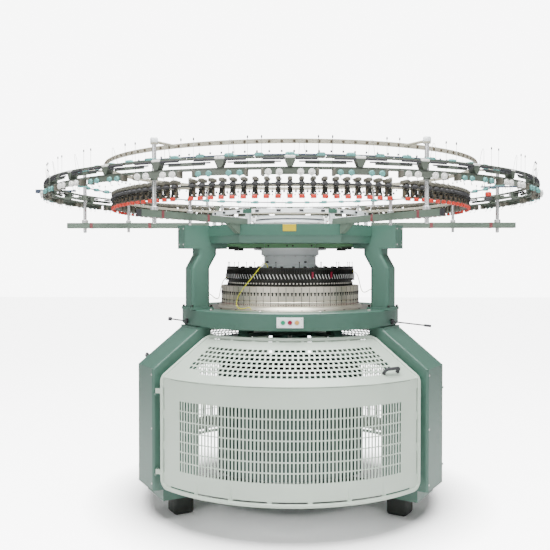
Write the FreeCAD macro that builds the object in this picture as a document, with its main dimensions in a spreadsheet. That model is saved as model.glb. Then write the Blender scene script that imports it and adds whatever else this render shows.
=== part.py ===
import FreeCAD, Part
import math
import os
import Sketcher
from FreeCAD import Placement, Rotation, Vector

# A circular knitting machine for tubular rib cloth, standing on three legs.  The needle
# cylinder and the dial turn about +Z.  The front of the machine is -Y, the floor is z = 0,
# and azimuths are measured from the front towards +X.  All lengths are in millimetres.

DRIVING_SIZES = {
    # feet, legs and base
    "foot_side": 140, "foot_height": 140, "leg_radius": 860, "leg_azimuth": 60,
    "leg_width": 300, "leg_face": 1110, "leg_straight_top": 1010, "leg_lip": 76,
    "leg_lip_depth": 70, "cover_wall": 6, "cover_round": 16, "post_width": 160, "post_inner": 795,
    "post_outer": 960, "post_head_inner": 700, "leg_shoulder": 800, "leg_shoulder_top": 1250,
    "belt_window": 70, "base_height": 34, "base_inner": 470, "base_hub": 90, "base_arm": 120,
    # bed
    "bed_bottom": 1263, "bed_top": 1377, "bed_radius": 785, "ledge_inner": 500,
    "plate_radius": 620, "plate_inner": 445, "plate_seat": 1345, "plate_proud": 2,
    # knitting head
    "cylinder_radius": 431.8, "cylinder_wall": 30, "cylinder_top": 1575,
    "cam_radius": 502, "cam_flare": 520, "cam_bottom": 1400, "cam_top": 1533,
    "cam_back": 480, "cam_count": 60, "cam_gap": 1.2, "cam_hole": 7, "cam_hole_height": 1487,
    "feeder_ring_radius": 464, "feeder_ring_inner": 440, "feeder_ring_top": 1661,
    "tier_radius": 452, "tier_top": 1570, "lip_height": 10, "lip_reach": 6,
    # dial and its housing
    "dial_radius": 425, "dial_bottom": 1600, "dial_thick": 28, "dial_shaft": 40,
    "housing_radius": 190, "housing_bottom": 1629, "housing_skirt": 405, "skirt_top": 1660,
    "flange_radius": 211, "flange_bottom": 1743, "flange_top": 1783, "collar_radius": 265,
    "collar_top": 1798, "bridge_width": 350, "bridge_depth": 600, "bridge_bar": 270,
    # columns and crown
    "column_radius": 734, "column_width": 134, "column_foot": 166, "column_foot_height": 17,
    "column_bend": 1660, "column_neck": 1750, "column_shift": 52, "crown_low": 1790,
    "crown_bottom": 1827, "crown_step": 1875, "crown_top": 1948, "crown_radius": 680,
    "crown_shoulder": 700, "crown_taper": 15, "block_width": 134, "drive_block_width": 250,
    "block_inner": 540, "block_outer": 850, "tray_radius": 572, "tray_floor": 1845, "cover_thick": 8,
    "cover_radius": 584, "support_radius": 556, "support_low": 2027, "support_high": 2053,
    "support_wide": 26, "support_post": 30, "stack_radius": 250, "stack_top": 2026,
    # drive
    "gear_teeth": 140, "pinion_teeth": 25, "gear_module": 8, "gear_thick": 45,
    "gear_bottom": 1292, "dial_gear_bottom": 1872, "dial_gear_thick": 28, "shaft_radius": 18,
    "shaft_bottom": 985, "pulley_bottom": 992, "pulley_thick": 34, "pulley_radius": 60,
    "motor_pulley_radius": 36, "motor_radius": 64, "motor_place": 1033, "motor_length": 290,
    "belt_thick": 4, "belt_width": 26, "running_gap": 0.05, "clear_gap": 0.3,
    # take-down
    "frame_half": 500, "frame_depth": 400, "frame_plate": 16, "frame_bottom": 215,
    "frame_top": 1150, "hanger_radius": 470, "nip_height": 900, "nip_radius": 42,
    "roll_height": 560, "roll_radius": 55, "roller_journal": 14,
    # guard doors
    "guard_radius": 1085, "guard_bottom": 257, "guard_bend": 960, "guard_top": 1206,
    "guard_top_radius": 746, "guard_half": 49, "guard_top_half": 46.8, "guard_tube": 13,
    "guard_corner": 55, "sheet_thick": 3, "hinge_radius": 1100, "hinge_azimuth": -51.2,
    "hinge_pin": 5, "hinge_eye": 11, "hinge_length": 30, "slot_wide": 13, "slot_tall": 57,
    "slot_pitch": 64, "slot_rows": 7, "slot_columns": 64, "slot_low": 390, "slot_step": 1.24,
    "square_side": 24, "square_pitch": 34, "square_rows": 7, "square_row_pitch": 37.5,
    "square_first": 72, "square_edge": 52, "handle_up": 80, "slit_wide": 10,
    # arms, poles and rings
    "arm_side": 40, "arm_inner": 595, "arm_outer": 1640, "thin_pole_place": 1190,
    "thin_pole": 10, "thin_pole_top": 2200, "thick_pole_place": 1513, "thick_pole": 12.5,
    "thick_pole_top": 2390, "pole_stub": 30, "eyelet_radius": 1320, "eyelet_top": 2383,
    "eyelet_band": 26, "eyelet_thick": 8, "blue_radius": 1546, "blue_height": 2262,
    "blue_tube": 5, "clamp_count": 30, "stop_radius": 1700, "stop_bottom": 2166,
    "stop_rail_tall": 12, "stop_rail_wide": 30, "boat_top": 2232, "boat_long": 52,
    "bar_bottom": 2138, "bar_half_angle": 4.4,
    "feeder_radius": 1230, "feeder_count": 19, "feeder_pitch": 3, "feeder_low": 2078,
    "feeder_top": 2184, "feeder_wide": 30, "wheel_radius": 17, "rail_side": 20,
    # controls
    "panel_wide": 167, "panel_tall": 65, "panel_thick": 10, "panel_height": 1318,
    "button_radius": 13, "button_travel": 4, "button_spread": 44, "lever_travel": 25,
}

FRONT_DOOR, RIGHT_DOOR, LEFT_DOOR = 0, 120, -120
LEGS = {"right": 60, "left": -60, "rear": 180}
ARMS = (30, 90, 150, 210, 270, 330)
DRIVE_AZIMUTH = 180

doc = FreeCAD.newDocument("knitting_machine")
sheet = doc.addObject("Spreadsheet::Sheet", "Sizes")
nodes = {}


class Size:
    """A driving dimension, or a sum of them, with the expression that binds it."""

    def __init__(self, value, text):
        self.value = float(value)
        self.text = text

    def __add__(self, other):
        other = as_size(other)
        return Size(self.value + other.value, f"({self.text} + {other.text})")

    def __sub__(self, other):
        other = as_size(other)
        return Size(self.value - other.value, f"({self.text} - {other.text})")

    def __mul__(self, other):
        other = as_size(other)
        return Size(self.value * other.value, f"({self.text} * {other.text})")

    def __truediv__(self, other):
        other = as_size(other)
        return Size(self.value / other.value, f"({self.text} / {other.text})")

    __radd__ = __add__
    __rmul__ = __mul__

    def __rsub__(self, other):
        return as_size(other) - self

    def __neg__(self):
        return Size(-self.value, f"(0 - {self.text})")


def as_size(thing):
    return thing if isinstance(thing, Size) else Size(thing, f"({thing})")


class Table:
    """The spreadsheet's cells as attributes."""


s = Table()
for row, (alias, number) in enumerate(DRIVING_SIZES.items(), start=1):
    sheet.set(f"A{row}", alias)
    sheet.set(f"B{row}", str(number))
    sheet.setAlias(f"B{row}", alias)
    setattr(s, alias, Size(number, f"Sizes.{alias}"))
doc.recompute()

gear_pitch = s.gear_module * s.gear_teeth / 2
pinion_pitch = s.gear_module * s.pinion_teeth / 2
shaft_place = gear_pitch + pinion_pitch


# ---------------------------------------------------------------- helpers

def bind(thing, prop, size):
    """Binds one property to its spreadsheet expression."""
    thing.setExpression(prop, as_size(size).text)


def turned_to(azimuth, height=0.0):
    """The placement that turns a piece modelled along +X to an azimuth."""
    return Placement(Vector(0, 0, height), Rotation(Vector(0, 0, 1), azimuth - 90))


def out(azimuth, radius, height=0.0):
    """The point at an azimuth, radius and height."""
    a = math.radians(azimuth)
    return Vector(radius * math.sin(a), -radius * math.cos(a), height)


def keep(name, thing):
    """Names a finished sub-part."""
    thing.Label = name
    nodes[name] = thing
    return thing


def plane_of(body, role):
    for feature in body.Origin.OriginFeatures:
        if feature.Role == role:
            return feature
    raise ValueError(role)


def outline(body, name, points, role="XZ_Plane"):
    """A closed sketch through bound corner points, each a pair of sizes."""
    sketch = body.newObject("Sketcher::SketchObject", name)
    sketch.AttachmentSupport = [(plane_of(body, role), "")]
    sketch.MapMode = "FlatFace"
    corners = [(as_size(a), as_size(b)) for a, b in points]
    places = [Vector(a.value, b.value, 0) for a, b in corners]
    count = len(places)
    for i in range(count):
        sketch.addGeometry(Part.LineSegment(places[i], places[(i + 1) % count]), False)
    for i in range(count):
        sketch.addConstraint(constraint("Coincident", i, 2, (i + 1) % count, 1))
    for i, (a, b) in enumerate(corners):
        for kind, size, axis in (("DistanceX", a, -2), ("DistanceY", b, -1)):
            if abs(size.value) < 1e-9:
                sketch.addConstraint(constraint("PointOnObject", i, 1, axis))
            else:
                at = sketch.addConstraint(constraint(kind, -1, 1, i, 1, size.value))
                sketch.setExpression(f"Constraints[{at}]", size.text)
    return sketch


def constraint(*values):
    return Sketcher.Constraint(*values)


def new_body(name):
    body = doc.addObject("PartDesign::Body", name)
    doc.recompute()
    return body


def turned(name, points):
    """A body of revolution about +Z from (radius, height) corners."""
    body = new_body(name)
    sketch = outline(body, name + "_section", points)
    revolution = body.newObject("PartDesign::Revolution", name + "_turn")
    revolution.Profile = sketch
    revolution.ReferenceAxis = (sketch, ["V_Axis"])
    revolution.Angle = 360
    doc.recompute()
    return body


def padded(name, points, width):
    """A body padded both ways from a section in the radial plane."""
    body = new_body(name)
    sketch = outline(body, name + "_side", points)
    pad = body.newObject("PartDesign::Pad", name + "_pad")
    pad.Profile = sketch
    pad.Midplane = True
    bind(pad, "Length", width)
    doc.recompute()
    return body


def pocket_through(body, name, points, width):
    """Takes a section out of a padded body, both ways from its middle plane."""
    sketch = outline(body, name, points)
    before = body.Shape.Volume
    pocket = body.newObject("PartDesign::Pocket", name + "_cut")
    pocket.Profile = sketch
    pocket.Midplane = True
    bind(pocket, "Length", width)
    doc.recompute()
    if body.Shape.Volume >= before:
        raise ValueError(name + " cuts nothing")
    return pocket


def round_edges(body, name, radius, chosen):
    """Fillets the edges that chosen(edge) picks."""
    fillet = body.newObject("PartDesign::Fillet", name)
    names = []
    for i, edge in enumerate(body.Shape.Edges, start=1):
        if chosen(edge):
            names.append(f"Edge{i}")
    fillet.Base = (body.Tip if body.Tip != fillet else fillet.BaseFeature, names)
    bind(fillet, "Radius", radius)
    doc.recompute()
    return fillet


def cylinder(name, radius, height, place=(0, 0, 0), azimuth=90):
    """A Part cylinder standing on place, which is (radius out, sideways, height)."""
    thing = doc.addObject("Part::Cylinder", name)
    bind(thing, "Radius", radius)
    bind(thing, "Height", height)
    stand(thing, place, azimuth)
    return thing


def stand(thing, place, azimuth):
    """Turns a primitive to an azimuth and binds its place along that azimuth."""
    thing.Placement = turned_to(azimuth)
    along, across, height = (as_size(p) for p in place)
    turn = azimuth - 90
    c, d = round(math.cos(math.radians(turn)), 12), round(math.sin(math.radians(turn)), 12)
    bind(thing, "Placement.Base.x", along * c - across * d)
    bind(thing, "Placement.Base.y", along * d + across * c)
    bind(thing, "Placement.Base.z", height)


def box(name, along, across, height, azimuth=90):
    """A Part box between pairs of bounds: out along the azimuth, across it, and up."""
    thing = doc.addObject("Part::Box", name)
    low, high = as_size(along[0]), as_size(along[1])
    left, right = as_size(across[0]), as_size(across[1])
    bottom, top = as_size(height[0]), as_size(height[1])
    bind(thing, "Length", high - low)
    bind(thing, "Width", right - left)
    bind(thing, "Height", top - bottom)
    stand(thing, (low, left, bottom), azimuth)
    return thing


def fused(name, parts):
    thing = doc.addObject("Part::MultiFuse", name)
    thing.Shapes = parts
    return thing


def cut(name, base, tools):
    tool = tools[0] if len(tools) == 1 else fused(name + "_tools", tools)
    thing = doc.addObject("Part::Cut", name)
    thing.Base = base
    thing.Tool = tool
    return thing


def grouped(name, parts):
    thing = doc.addObject("Part::Compound", name)
    thing.Links = parts
    return keep(name, thing)


def made(name, shape):
    """A sub-part whose shape is worked out here from the sheet's sizes."""
    place = shape.Placement
    thing = doc.addObject("Part::Feature", name)
    thing.Shape = shape
    thing.Placement = place
    return keep(name, thing)


def copies(name, shape, azimuths):
    """Copies of a shape modelled along +X, turned to each azimuth."""
    solids = []
    for azimuth in azimuths:
        turned_copy = shape.copy()
        turned_copy.Placement = turned_to(azimuth).multiply(turned_copy.Placement)
        solids.extend(turned_copy.Solids)
    return made(name, Part.makeCompound(solids))


def block(x0, x1, y0, y1, z0, z1):
    return Part.makeBox(x1 - x0, y1 - y0, z1 - z0, Vector(x0, y0, z0))


def rod(start, end, radius):
    return Part.makeCylinder(radius, (end - start).Length, start, end - start)


def sector(section, half_angle, middle=0.0):
    """A (radius, height) polygon turned about +Z, half_angle each side of +X."""
    points = [Vector(r, 0, z) for r, z in section]
    face = Part.Face(Part.makePolygon(points + points[:1]))
    face.rotate(Vector(), Vector(0, 0, 1), middle - half_angle)
    return face.revolve(Vector(), Vector(0, 0, 1), 2 * half_angle)


def ring(inner, outer, bottom, top):
    solid = Part.makeCylinder(outer, top - bottom, Vector(0, 0, bottom))
    return solid.cut(Part.makeCylinder(inner, top - bottom, Vector(0, 0, bottom)))


def rounded(points, radius):
    """Straight runs through points, with a tangent arc at each inner point."""
    edges = []
    start = points[0]
    for i in range(1, len(points) - 1):
        before = (points[i - 1] - points[i]).normalize()
        after = (points[i + 1] - points[i]).normalize()
        half = before.getAngle(after) / 2
        if callable(radius):
            reach = radius(i) / math.tan(half)
        else:
            reach = radius / math.tan(half)
        first = points[i] + before * reach
        last = points[i] + after * reach
        bisector = (before + after).normalize()
        arc_radius = reach * math.tan(half)
        centre = points[i] + bisector * (arc_radius / math.sin(half))
        middle = centre - bisector * arc_radius
        if (first - start).Length > 1e-6:
            edges.append(Part.LineSegment(start, first).toShape())
        edges.append(Part.Arc(first, middle, last).toShape())
        start = last
    edges.append(Part.LineSegment(start, points[-1]).toShape())
    return edges


def tube_along(edges, radius):
    """A round bar along tangent lines and arcs."""
    pieces = []
    for edge in edges:
        first = edge.valueAt(edge.FirstParameter)
        tangent = edge.tangentAt(edge.FirstParameter)
        face = Part.Face(Part.Wire(Part.Circle(first, tangent, radius).toShape()))
        if isinstance(edge.Curve, Part.Line):
            last = edge.valueAt(edge.LastParameter)
            pieces.append(face.extrude(last - first))
        else:
            sweep = math.degrees(edge.LastParameter - edge.FirstParameter)
            pieces.append(face.revolve(edge.Curve.Center, edge.Curve.Axis, sweep))
    whole = pieces[0]
    if len(pieces) > 1:
        whole = pieces[0].multiFuse(pieces[1:])
    return whole.removeSplitter()


# ---------------------------------------------------------------- feet, legs, base

def make_base():
    blocks = []
    half = s.foot_side / 2
    for side, azimuth in LEGS.items():
        blocks.append(box("foot_" + side, (s.leg_radius - half, s.leg_radius + half),
                          (-half, half), (0, s.foot_height), azimuth))
    grouped("feet", blocks)
    floor = s.foot_height
    top = floor + s.base_height
    hub = cylinder("base_hub_disc", s.base_hub, s.base_height, (0, 0, floor))
    rim = cylinder("base_rim_disc", s.base_inner, s.base_height, (0, 0, floor))
    rim_hole = cylinder("base_rim_hole", s.base_inner - 90, s.base_height, (0, 0, floor))
    beams = []
    for side, azimuth in LEGS.items():
        beams.append(box("base_beam_" + side, (0, s.post_inner),
                         (-s.base_arm / 2, s.base_arm / 2), (floor, top), azimuth))
    hoop = cut("base_hoop", rim, [rim_hole])
    star = fused("base_star", [hub, hoop] + beams)
    bore = cylinder("base_bore", s.dial_shaft + s.running_gap, s.base_height, (0, 0, floor))
    keep("base_spider", cut("base_spider_shape", star, [bore]))


def make_legs():
    floor = s.foot_height
    outer = [
        (s.post_inner, floor), (s.leg_face - s.leg_lip_depth, floor),
        (s.leg_face - s.leg_lip_depth, floor + s.leg_lip), (s.leg_face, floor + s.leg_lip),
        (s.leg_face, s.leg_straight_top), (s.leg_shoulder, s.leg_shoulder_top),
        (s.leg_shoulder, s.bed_bottom), (s.post_head_inner, s.bed_bottom),
        (s.post_head_inner, s.bed_bottom - 80), (s.post_inner, s.bed_bottom - 200),
    ]
    cover = padded("leg_cover", outer, s.leg_width)
    wall = s.cover_wall
    inner = [
        (s.post_inner - 30, floor - 10), (s.leg_face - s.leg_lip_depth - wall, floor - 10),
        (s.leg_face - s.leg_lip_depth - wall, floor + s.leg_lip + wall),
        (s.leg_face - wall, floor + s.leg_lip + wall),
        (s.leg_face - wall, s.leg_straight_top - wall * 0.6),
        (s.leg_shoulder - wall, s.leg_shoulder_top - wall * 1.2),
        (s.leg_shoulder - wall, s.bed_bottom + 10), (s.post_head_inner - 10, s.bed_bottom + 10),
        (s.post_head_inner - 10, s.bed_bottom - 90), (s.post_inner - 30, s.bed_bottom - 200),
    ]

    def upright_corner(edge):
        ends = [v.Point for v in edge.Vertexes]
        across = len(ends) == 2 and abs(ends[0].y - ends[1].y) < 1
        wide = abs(abs(ends[0].y) - s.leg_width.value / 2) < 1
        face = min(p.x for p in ends) > s.leg_shoulder.value - 1
        return across and wide and face and max(p.z for p in ends) > s.guard_bottom.value

    round_edges(cover, "leg_cover_round", s.cover_round, upright_corner)
    pocket_through(cover, "leg_hollow", inner, s.leg_width - wall * 2)
    copies("leg_covers", cover.Shape, LEGS.values())

    gap = s.clear_gap + wall
    post = [
        (s.post_inner, floor), (s.post_outer, floor),
        (s.post_outer, s.leg_straight_top + 60), (s.leg_shoulder - gap, s.leg_shoulder_top - 30),
        (s.leg_shoulder - gap, s.bed_bottom), (s.post_head_inner, s.bed_bottom),
        (s.post_head_inner, s.bed_bottom - 80), (s.post_inner, s.bed_bottom - 200),
    ]
    casting = padded("leg_post", post, s.post_width)
    low = s.pulley_bottom - 18
    window = [
        (s.post_inner - 40, low), (s.post_outer + 10, low),
        (s.post_outer + 10, low + s.belt_window), (s.post_inner - 40, low + s.belt_window),
    ]
    pocket_through(casting, "belt_way", window, s.post_width - 20)
    copies("leg_posts", casting.Shape, LEGS.values())


# ---------------------------------------------------------------- bed and knitting head

def make_bed():
    ledge = s.gear_bottom - s.clear_gap
    cavity = gear_pitch + s.gear_module + 7
    ring_body = turned("bed_casting", [
        (s.ledge_inner, s.bed_bottom), (s.bed_radius - 6, s.bed_bottom),
        (s.bed_radius, s.bed_bottom + 6), (s.bed_radius, s.bed_top - 6),
        (s.bed_radius - 6, s.bed_top), (s.plate_radius + s.running_gap, s.bed_top),
        (s.plate_radius + s.running_gap, s.plate_seat), (cavity, s.plate_seat),
        (cavity, ledge), (s.ledge_inner, ledge),
    ])
    pocket = cylinder("pinion_space", pinion_pitch + s.gear_module + 4, s.gear_thick + 12,
                      (shaft_place, 0, s.gear_bottom - 6), DRIVE_AZIMUTH)
    bore = cylinder("bed_shaft_bore", s.shaft_radius + s.running_gap, 200,
                    (shaft_place, 0, s.bed_bottom - 20), DRIVE_AZIMUTH)
    keep("bed_ring", cut("bed_ring_shape", ring_body, [pocket, bore]))
    plate_top = s.bed_top + s.plate_proud
    keep("bed_plate", turned("bed_plate_turned", [
        (s.plate_inner, s.plate_seat), (s.plate_radius, s.plate_seat),
        (s.plate_radius, plate_top - 3), (s.plate_radius - 3, plate_top),
        (s.plate_inner, plate_top),
    ]))


def make_cams():
    inner = s.cylinder_radius + 1.2
    plate_top = s.bed_top + s.plate_proud
    keep("cam_ring", turned("cam_ring_turned", [
        (s.plate_inner, plate_top), (s.cam_flare + 8, plate_top),
        (s.cam_flare, s.cam_bottom - 6), (s.cam_radius + 2, s.cam_bottom),
        (s.cam_back - s.clear_gap, s.cam_bottom), (s.cam_back - s.clear_gap, s.cam_top),
        (inner, s.cam_top), (inner, s.cam_bottom), (s.plate_inner, s.cam_bottom),
    ]))
    pitch = 360 / s.cam_count.value
    half = pitch / 2 - math.degrees(s.cam_gap.value / 2 / s.cam_radius.value)
    back, front = s.cam_back.value, s.cam_radius.value
    low, high = s.cam_bottom.value, s.cam_top.value
    waist = low + 32
    plate = sector([(back, low), (front, low), (front, waist - 5), (front - 4, waist),
                    (front - 4, waist + 3), (front, waist + 8), (front, high), (back, high)], half)
    for side in (-1, 1):
        hole = Part.makeCylinder(s.cam_hole.value, 12, Vector(front - 9, 0, 0), Vector(1, 0, 0))
        hole.translate(Vector(0, 0, s.cam_hole_height.value))
        hole.rotate(Vector(), Vector(0, 0, 1), side * pitch / 4)
        plate = plate.cut(hole)
    copies("cam_plates", plate, [i * pitch for i in range(int(s.cam_count.value))])


def make_feeder_ring():
    base = s.cam_top
    outer, tier = s.feeder_ring_radius, s.tier_radius
    keep("feeder_ring", turned("feeder_ring_turned", [
        (s.feeder_ring_inner, base), (tier, base), (tier, s.tier_top),
        (outer + s.lip_reach, s.tier_top), (outer + s.lip_reach, s.tier_top + s.lip_height),
        (outer - 6, s.tier_top + s.lip_height), (outer - 6, s.feeder_ring_top - 14),
        (outer, s.feeder_ring_top - 14), (outer, s.feeder_ring_top),
        (s.feeder_ring_inner, s.feeder_ring_top),
    ]))


def make_rotor():
    thick = s.gear_thick
    teeth = gear_shape(s.gear_teeth.value, thick.value, DRIVE_AZIMUTH, 0.5)
    hole = Part.makeCylinder(s.cylinder_radius.value - s.cylinder_wall.value, thick.value)
    wheel = teeth.cut(hole)
    wheel.translate(Vector(0, 0, s.gear_bottom.value))
    made("cylinder_gear", wheel)
    inner = s.cylinder_radius - s.cylinder_wall
    base = s.gear_bottom + s.gear_thick
    keep("needle_cylinder", turned("needle_cylinder_turned", [
        (inner, base), (s.cylinder_radius, base), (s.cylinder_radius, s.cylinder_top - 4),
        (s.cylinder_radius - 4, s.cylinder_top), (inner, s.cylinder_top),
    ]))
    half, depth, plate = s.frame_half, s.frame_depth / 2, s.frame_plate
    parts = []
    for sign in (-1, 1):
        parts.append(box(f"side_plate_{sign + 1}",
                         (half - plate, half) if sign > 0 else (-half, plate - half),
                         (-depth, depth), (s.frame_bottom, s.frame_top)))
    parts.append(box("cross_beam", (-half, half), (-60, 60),
                     (s.frame_bottom, s.frame_bottom + 60)))
    top_disc = cylinder("hanger_disc", s.hanger_radius + 15, 30, (0, 0, s.frame_top - 30))
    top_hole = cylinder("hanger_hole", s.hanger_radius - 70, 30, (0, 0, s.frame_top - 30))
    hoop = cut("hanger_hoop", top_disc, [top_hole])
    parts.append(hoop)
    for sign in (-1, 1):
        parts.append(box(f"hoop_tie_{sign + 1}",
                         (s.hanger_radius - 60, half) if sign > 0
                         else (-half, 60 - s.hanger_radius),
                         (-60, 60), (s.frame_top - 30, s.frame_top)))
    for azimuth in (45, 135, 225, 315):
        parts.append(box(f"hanger_{azimuth}", (s.hanger_radius - 30, s.hanger_radius),
                         (-40, 40), (s.frame_top - 30, s.gear_bottom), azimuth))
    pin_drop = s.frame_bottom - s.foot_height
    parts.append(cylinder("centre_pin", s.dial_shaft, pin_drop + 1, (0, 0, s.foot_height)))
    frame = fused("takedown_shape", parts)
    bores = []
    for name, across, height in roller_places():
        bore = doc.addObject("Part::Cylinder", name + "_bore")
        bind(bore, "Radius", s.roller_journal + s.running_gap)
        bind(bore, "Height", half * 2 + 40)
        bore.Placement = Placement(Vector(), Rotation(Vector(0, 1, 0), 90))
        bind(bore, "Placement.Base.x", -half - 20)
        bind(bore, "Placement.Base.y", across)
        bind(bore, "Placement.Base.z", height)
        bores.append(bore)
    keep("takedown_frame", cut("takedown_frame_shape", frame, bores))


def roller_places():
    nip = s.nip_radius + s.clear_gap
    return (
        ("nip_roller_front", -nip, s.nip_height),
        ("nip_roller_rear", nip, s.nip_height),
        ("cloth_roller", Size(0, "0"), s.roll_height),
    )


def make_rollers():
    half, plate = s.frame_half, s.frame_plate
    for name, across, height in roller_places():
        radius = s.roll_radius if name == "cloth_roller" else s.nip_radius
        face = half - plate - 3
        journal = s.roller_journal
        end = half + 14
        body = turned(name + "_turned", [
            (0, -end), (journal, -end), (journal, -face), (radius, -face), (radius, face),
            (journal, face), (journal, end), (0, end),
        ])
        shape = body.Shape.copy()
        shape.rotate(Vector(), Vector(0, 1, 0), 90)
        shape.translate(Vector(0, across.value, height.value))
        made(name, shape)


# ---------------------------------------------------------------- gears and drive

def gear_shape(teeth, thick, tooth_azimuth, shift=0.0):
    """A spur gear about +Z with a tooth (shift 0) or a gap (shift 0.5) at an azimuth."""
    module = s.gear_module.value
    pitch_radius = module * teeth / 2
    tip, root = pitch_radius + 0.8 * module, pitch_radius - 1.05 * module
    step = 360 / teeth
    points = []
    for i in range(int(teeth)):
        centre = tooth_azimuth - 90 + (i + shift) * step
        for radius, share in ((root, -0.31), (tip, -0.13), (tip, 0.13), (root, 0.31)):
            a = math.radians(centre + share * step)
            points.append(Vector(radius * math.cos(a), radius * math.sin(a), 0))
    face = Part.Face(Part.makePolygon(points + points[:1]))
    return face.extrude(Vector(0, 0, thick))


def make_drive():
    place = out(DRIVE_AZIMUTH, shaft_place.value)
    pieces = []
    radius = s.shaft_radius.value
    top = s.dial_gear_bottom.value + s.dial_gear_thick.value + 20
    low = s.shaft_bottom.value
    pieces.append(Part.makeCylinder(radius, top - low, Vector(0, 0, low)))
    for bottom, thick in ((s.gear_bottom.value, s.gear_thick.value),
                          (s.dial_gear_bottom.value, s.dial_gear_thick.value)):
        pinion = gear_shape(s.pinion_teeth.value, thick, DRIVE_AZIMUTH + 180)
        pinion.translate(Vector(0, 0, bottom))
        pieces.append(pinion)
    pulley = Part.makeCylinder(s.pulley_radius.value, s.pulley_thick.value,
                               Vector(0, 0, s.pulley_bottom.value))
    pieces.append(pulley)
    shaft = pieces[0].multiFuse(pieces[1:])
    shaft.translate(place)
    made("drive_shaft", shaft)

    seat = out(DRIVE_AZIMUTH, s.motor_place.value)
    small = Part.makeCylinder(s.motor_pulley_radius.value, s.pulley_thick.value,
                              Vector(0, 0, s.pulley_bottom.value))
    stub_low = s.pulley_bottom.value - 40
    stub = Part.makeCylinder(12, 60, Vector(0, 0, stub_low))
    small = small.fuse(stub)
    small.translate(seat)
    made("motor_pulley", small)

    case_top = s.pulley_bottom.value - 10
    case = Part.makeCylinder(s.motor_radius.value, s.motor_length.value,
                             Vector(0, 0, case_top - s.motor_length.value))
    case = case.cut(Part.makeCylinder(12 + s.running_gap.value, 60, Vector(0, 0, stub_low)))
    case.translate(seat)
    for turn in range(0, 360, 15):
        groove = block(s.motor_radius.value - 5, s.motor_radius.value + 5, -3, 3,
                       case_top - s.motor_length.value + 40, case_top - 30)
        groove.rotate(Vector(), Vector(0, 0, 1), turn + 7.5)
        groove.translate(seat)
        case = case.cut(groove)
    reach = s.motor_place.value - s.post_outer.value
    foot = block(-50, 50, -reach, -s.motor_radius.value + 12, case_top - 220, case_top - 80)
    foot.translate(seat)
    made("motor", case.fuse(foot))
    make_belt(place, seat)


def make_belt(place, seat):
    gap = s.clear_gap.value
    low = s.pulley_bottom.value + (s.pulley_thick.value - s.belt_width.value) / 2
    thick = s.belt_thick.value

    def loop(extra):
        big = s.pulley_radius.value + gap + extra
        small = s.motor_pulley_radius.value + gap + extra
        reach = (seat - place).Length
        lean = math.asin((big - small) / reach)
        across, along = math.cos(lean), math.sin(lean)
        a = Vector(big * across, big * along, low)
        b = Vector(small * across, reach + small * along, low)
        c = Vector(-small * across, reach + small * along, low)
        d = Vector(-big * across, big * along, low)
        edges = [
            Part.LineSegment(a, b).toShape(),
            Part.Arc(b, Vector(0, reach + small, low), c).toShape(),
            Part.LineSegment(c, d).toShape(),
            Part.Arc(d, Vector(0, -big, low), a).toShape(),
        ]
        return Part.Face(Part.Wire(edges)).extrude(Vector(0, 0, s.belt_width.value))

    belt = loop(thick).cut(loop(0))
    belt.translate(place)
    made("drive_belt", belt)


def make_dial():
    radius, bottom, thick = s.dial_radius, s.dial_bottom, s.dial_thick
    shaft = s.dial_shaft
    top = s.dial_gear_bottom + s.dial_gear_thick + 16
    keep("dial", turned("dial_turned", [
        (0, bottom - 12), (radius - 120, bottom - 12), (radius - 100, bottom),
        (radius, bottom), (radius, bottom + thick), (shaft, bottom + thick),
        (shaft, top), (0, top),
    ]))
    gear = gear_shape(s.gear_teeth.value, s.dial_gear_thick.value, DRIVE_AZIMUTH, 0.5)
    gear = gear.cut(Part.makeCylinder(shaft.value, s.dial_gear_thick.value))
    for azimuth in range(0, 360, 60):
        window = Part.makeCylinder(120, s.dial_gear_thick.value, out(azimuth, 340))
        gear = gear.cut(window)
    gear.translate(Vector(0, 0, s.dial_gear_bottom.value))
    made("dial_gear", gear)


def make_housing():
    bore = s.dial_shaft + s.running_gap
    body = s.housing_radius
    keep("dial_housing", turned("dial_housing_turned", [
        (bore, s.housing_bottom), (s.housing_skirt, s.housing_bottom),
        (s.housing_skirt, s.skirt_top - 8), (s.housing_skirt - 8, s.skirt_top),
        (body + 24, s.skirt_top), (body, s.skirt_top + 24), (body, s.flange_bottom),
        (s.flange_radius, s.flange_bottom + 10), (s.flange_radius, s.flange_top),
        (s.collar_radius, s.flange_top + 4), (s.collar_radius, s.collar_top),
        (bore, s.collar_top),
    ]))
    bridge = box("bridge_plate", (-s.bridge_depth / 2, s.bridge_depth / 2),
                 (-s.bridge_width / 2, s.bridge_width / 2), (s.collar_top, s.crown_bottom), 0)
    bridge_bore = cylinder("bridge_bore", bore, 60, (0, 0, s.collar_top - 10))
    parts = [cut("bridge_bored", bridge, [bridge_bore])]
    start = s.bridge_width / 2 + 2
    edge = s.bridge_depth / 2 - 14
    for azimuth in (90, -90):
        for end, side in (("a", (edge - 36, edge)), ("b", (-edge, 36 - edge))):
            parts.append(box(f"bridge_bar_{end}_{azimuth + 90}", (start, start + s.bridge_bar), side,
                             (s.collar_top + 3, s.crown_bottom), azimuth))
    grouped("crown_bridge", parts)


# ---------------------------------------------------------------- columns and crown

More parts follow.
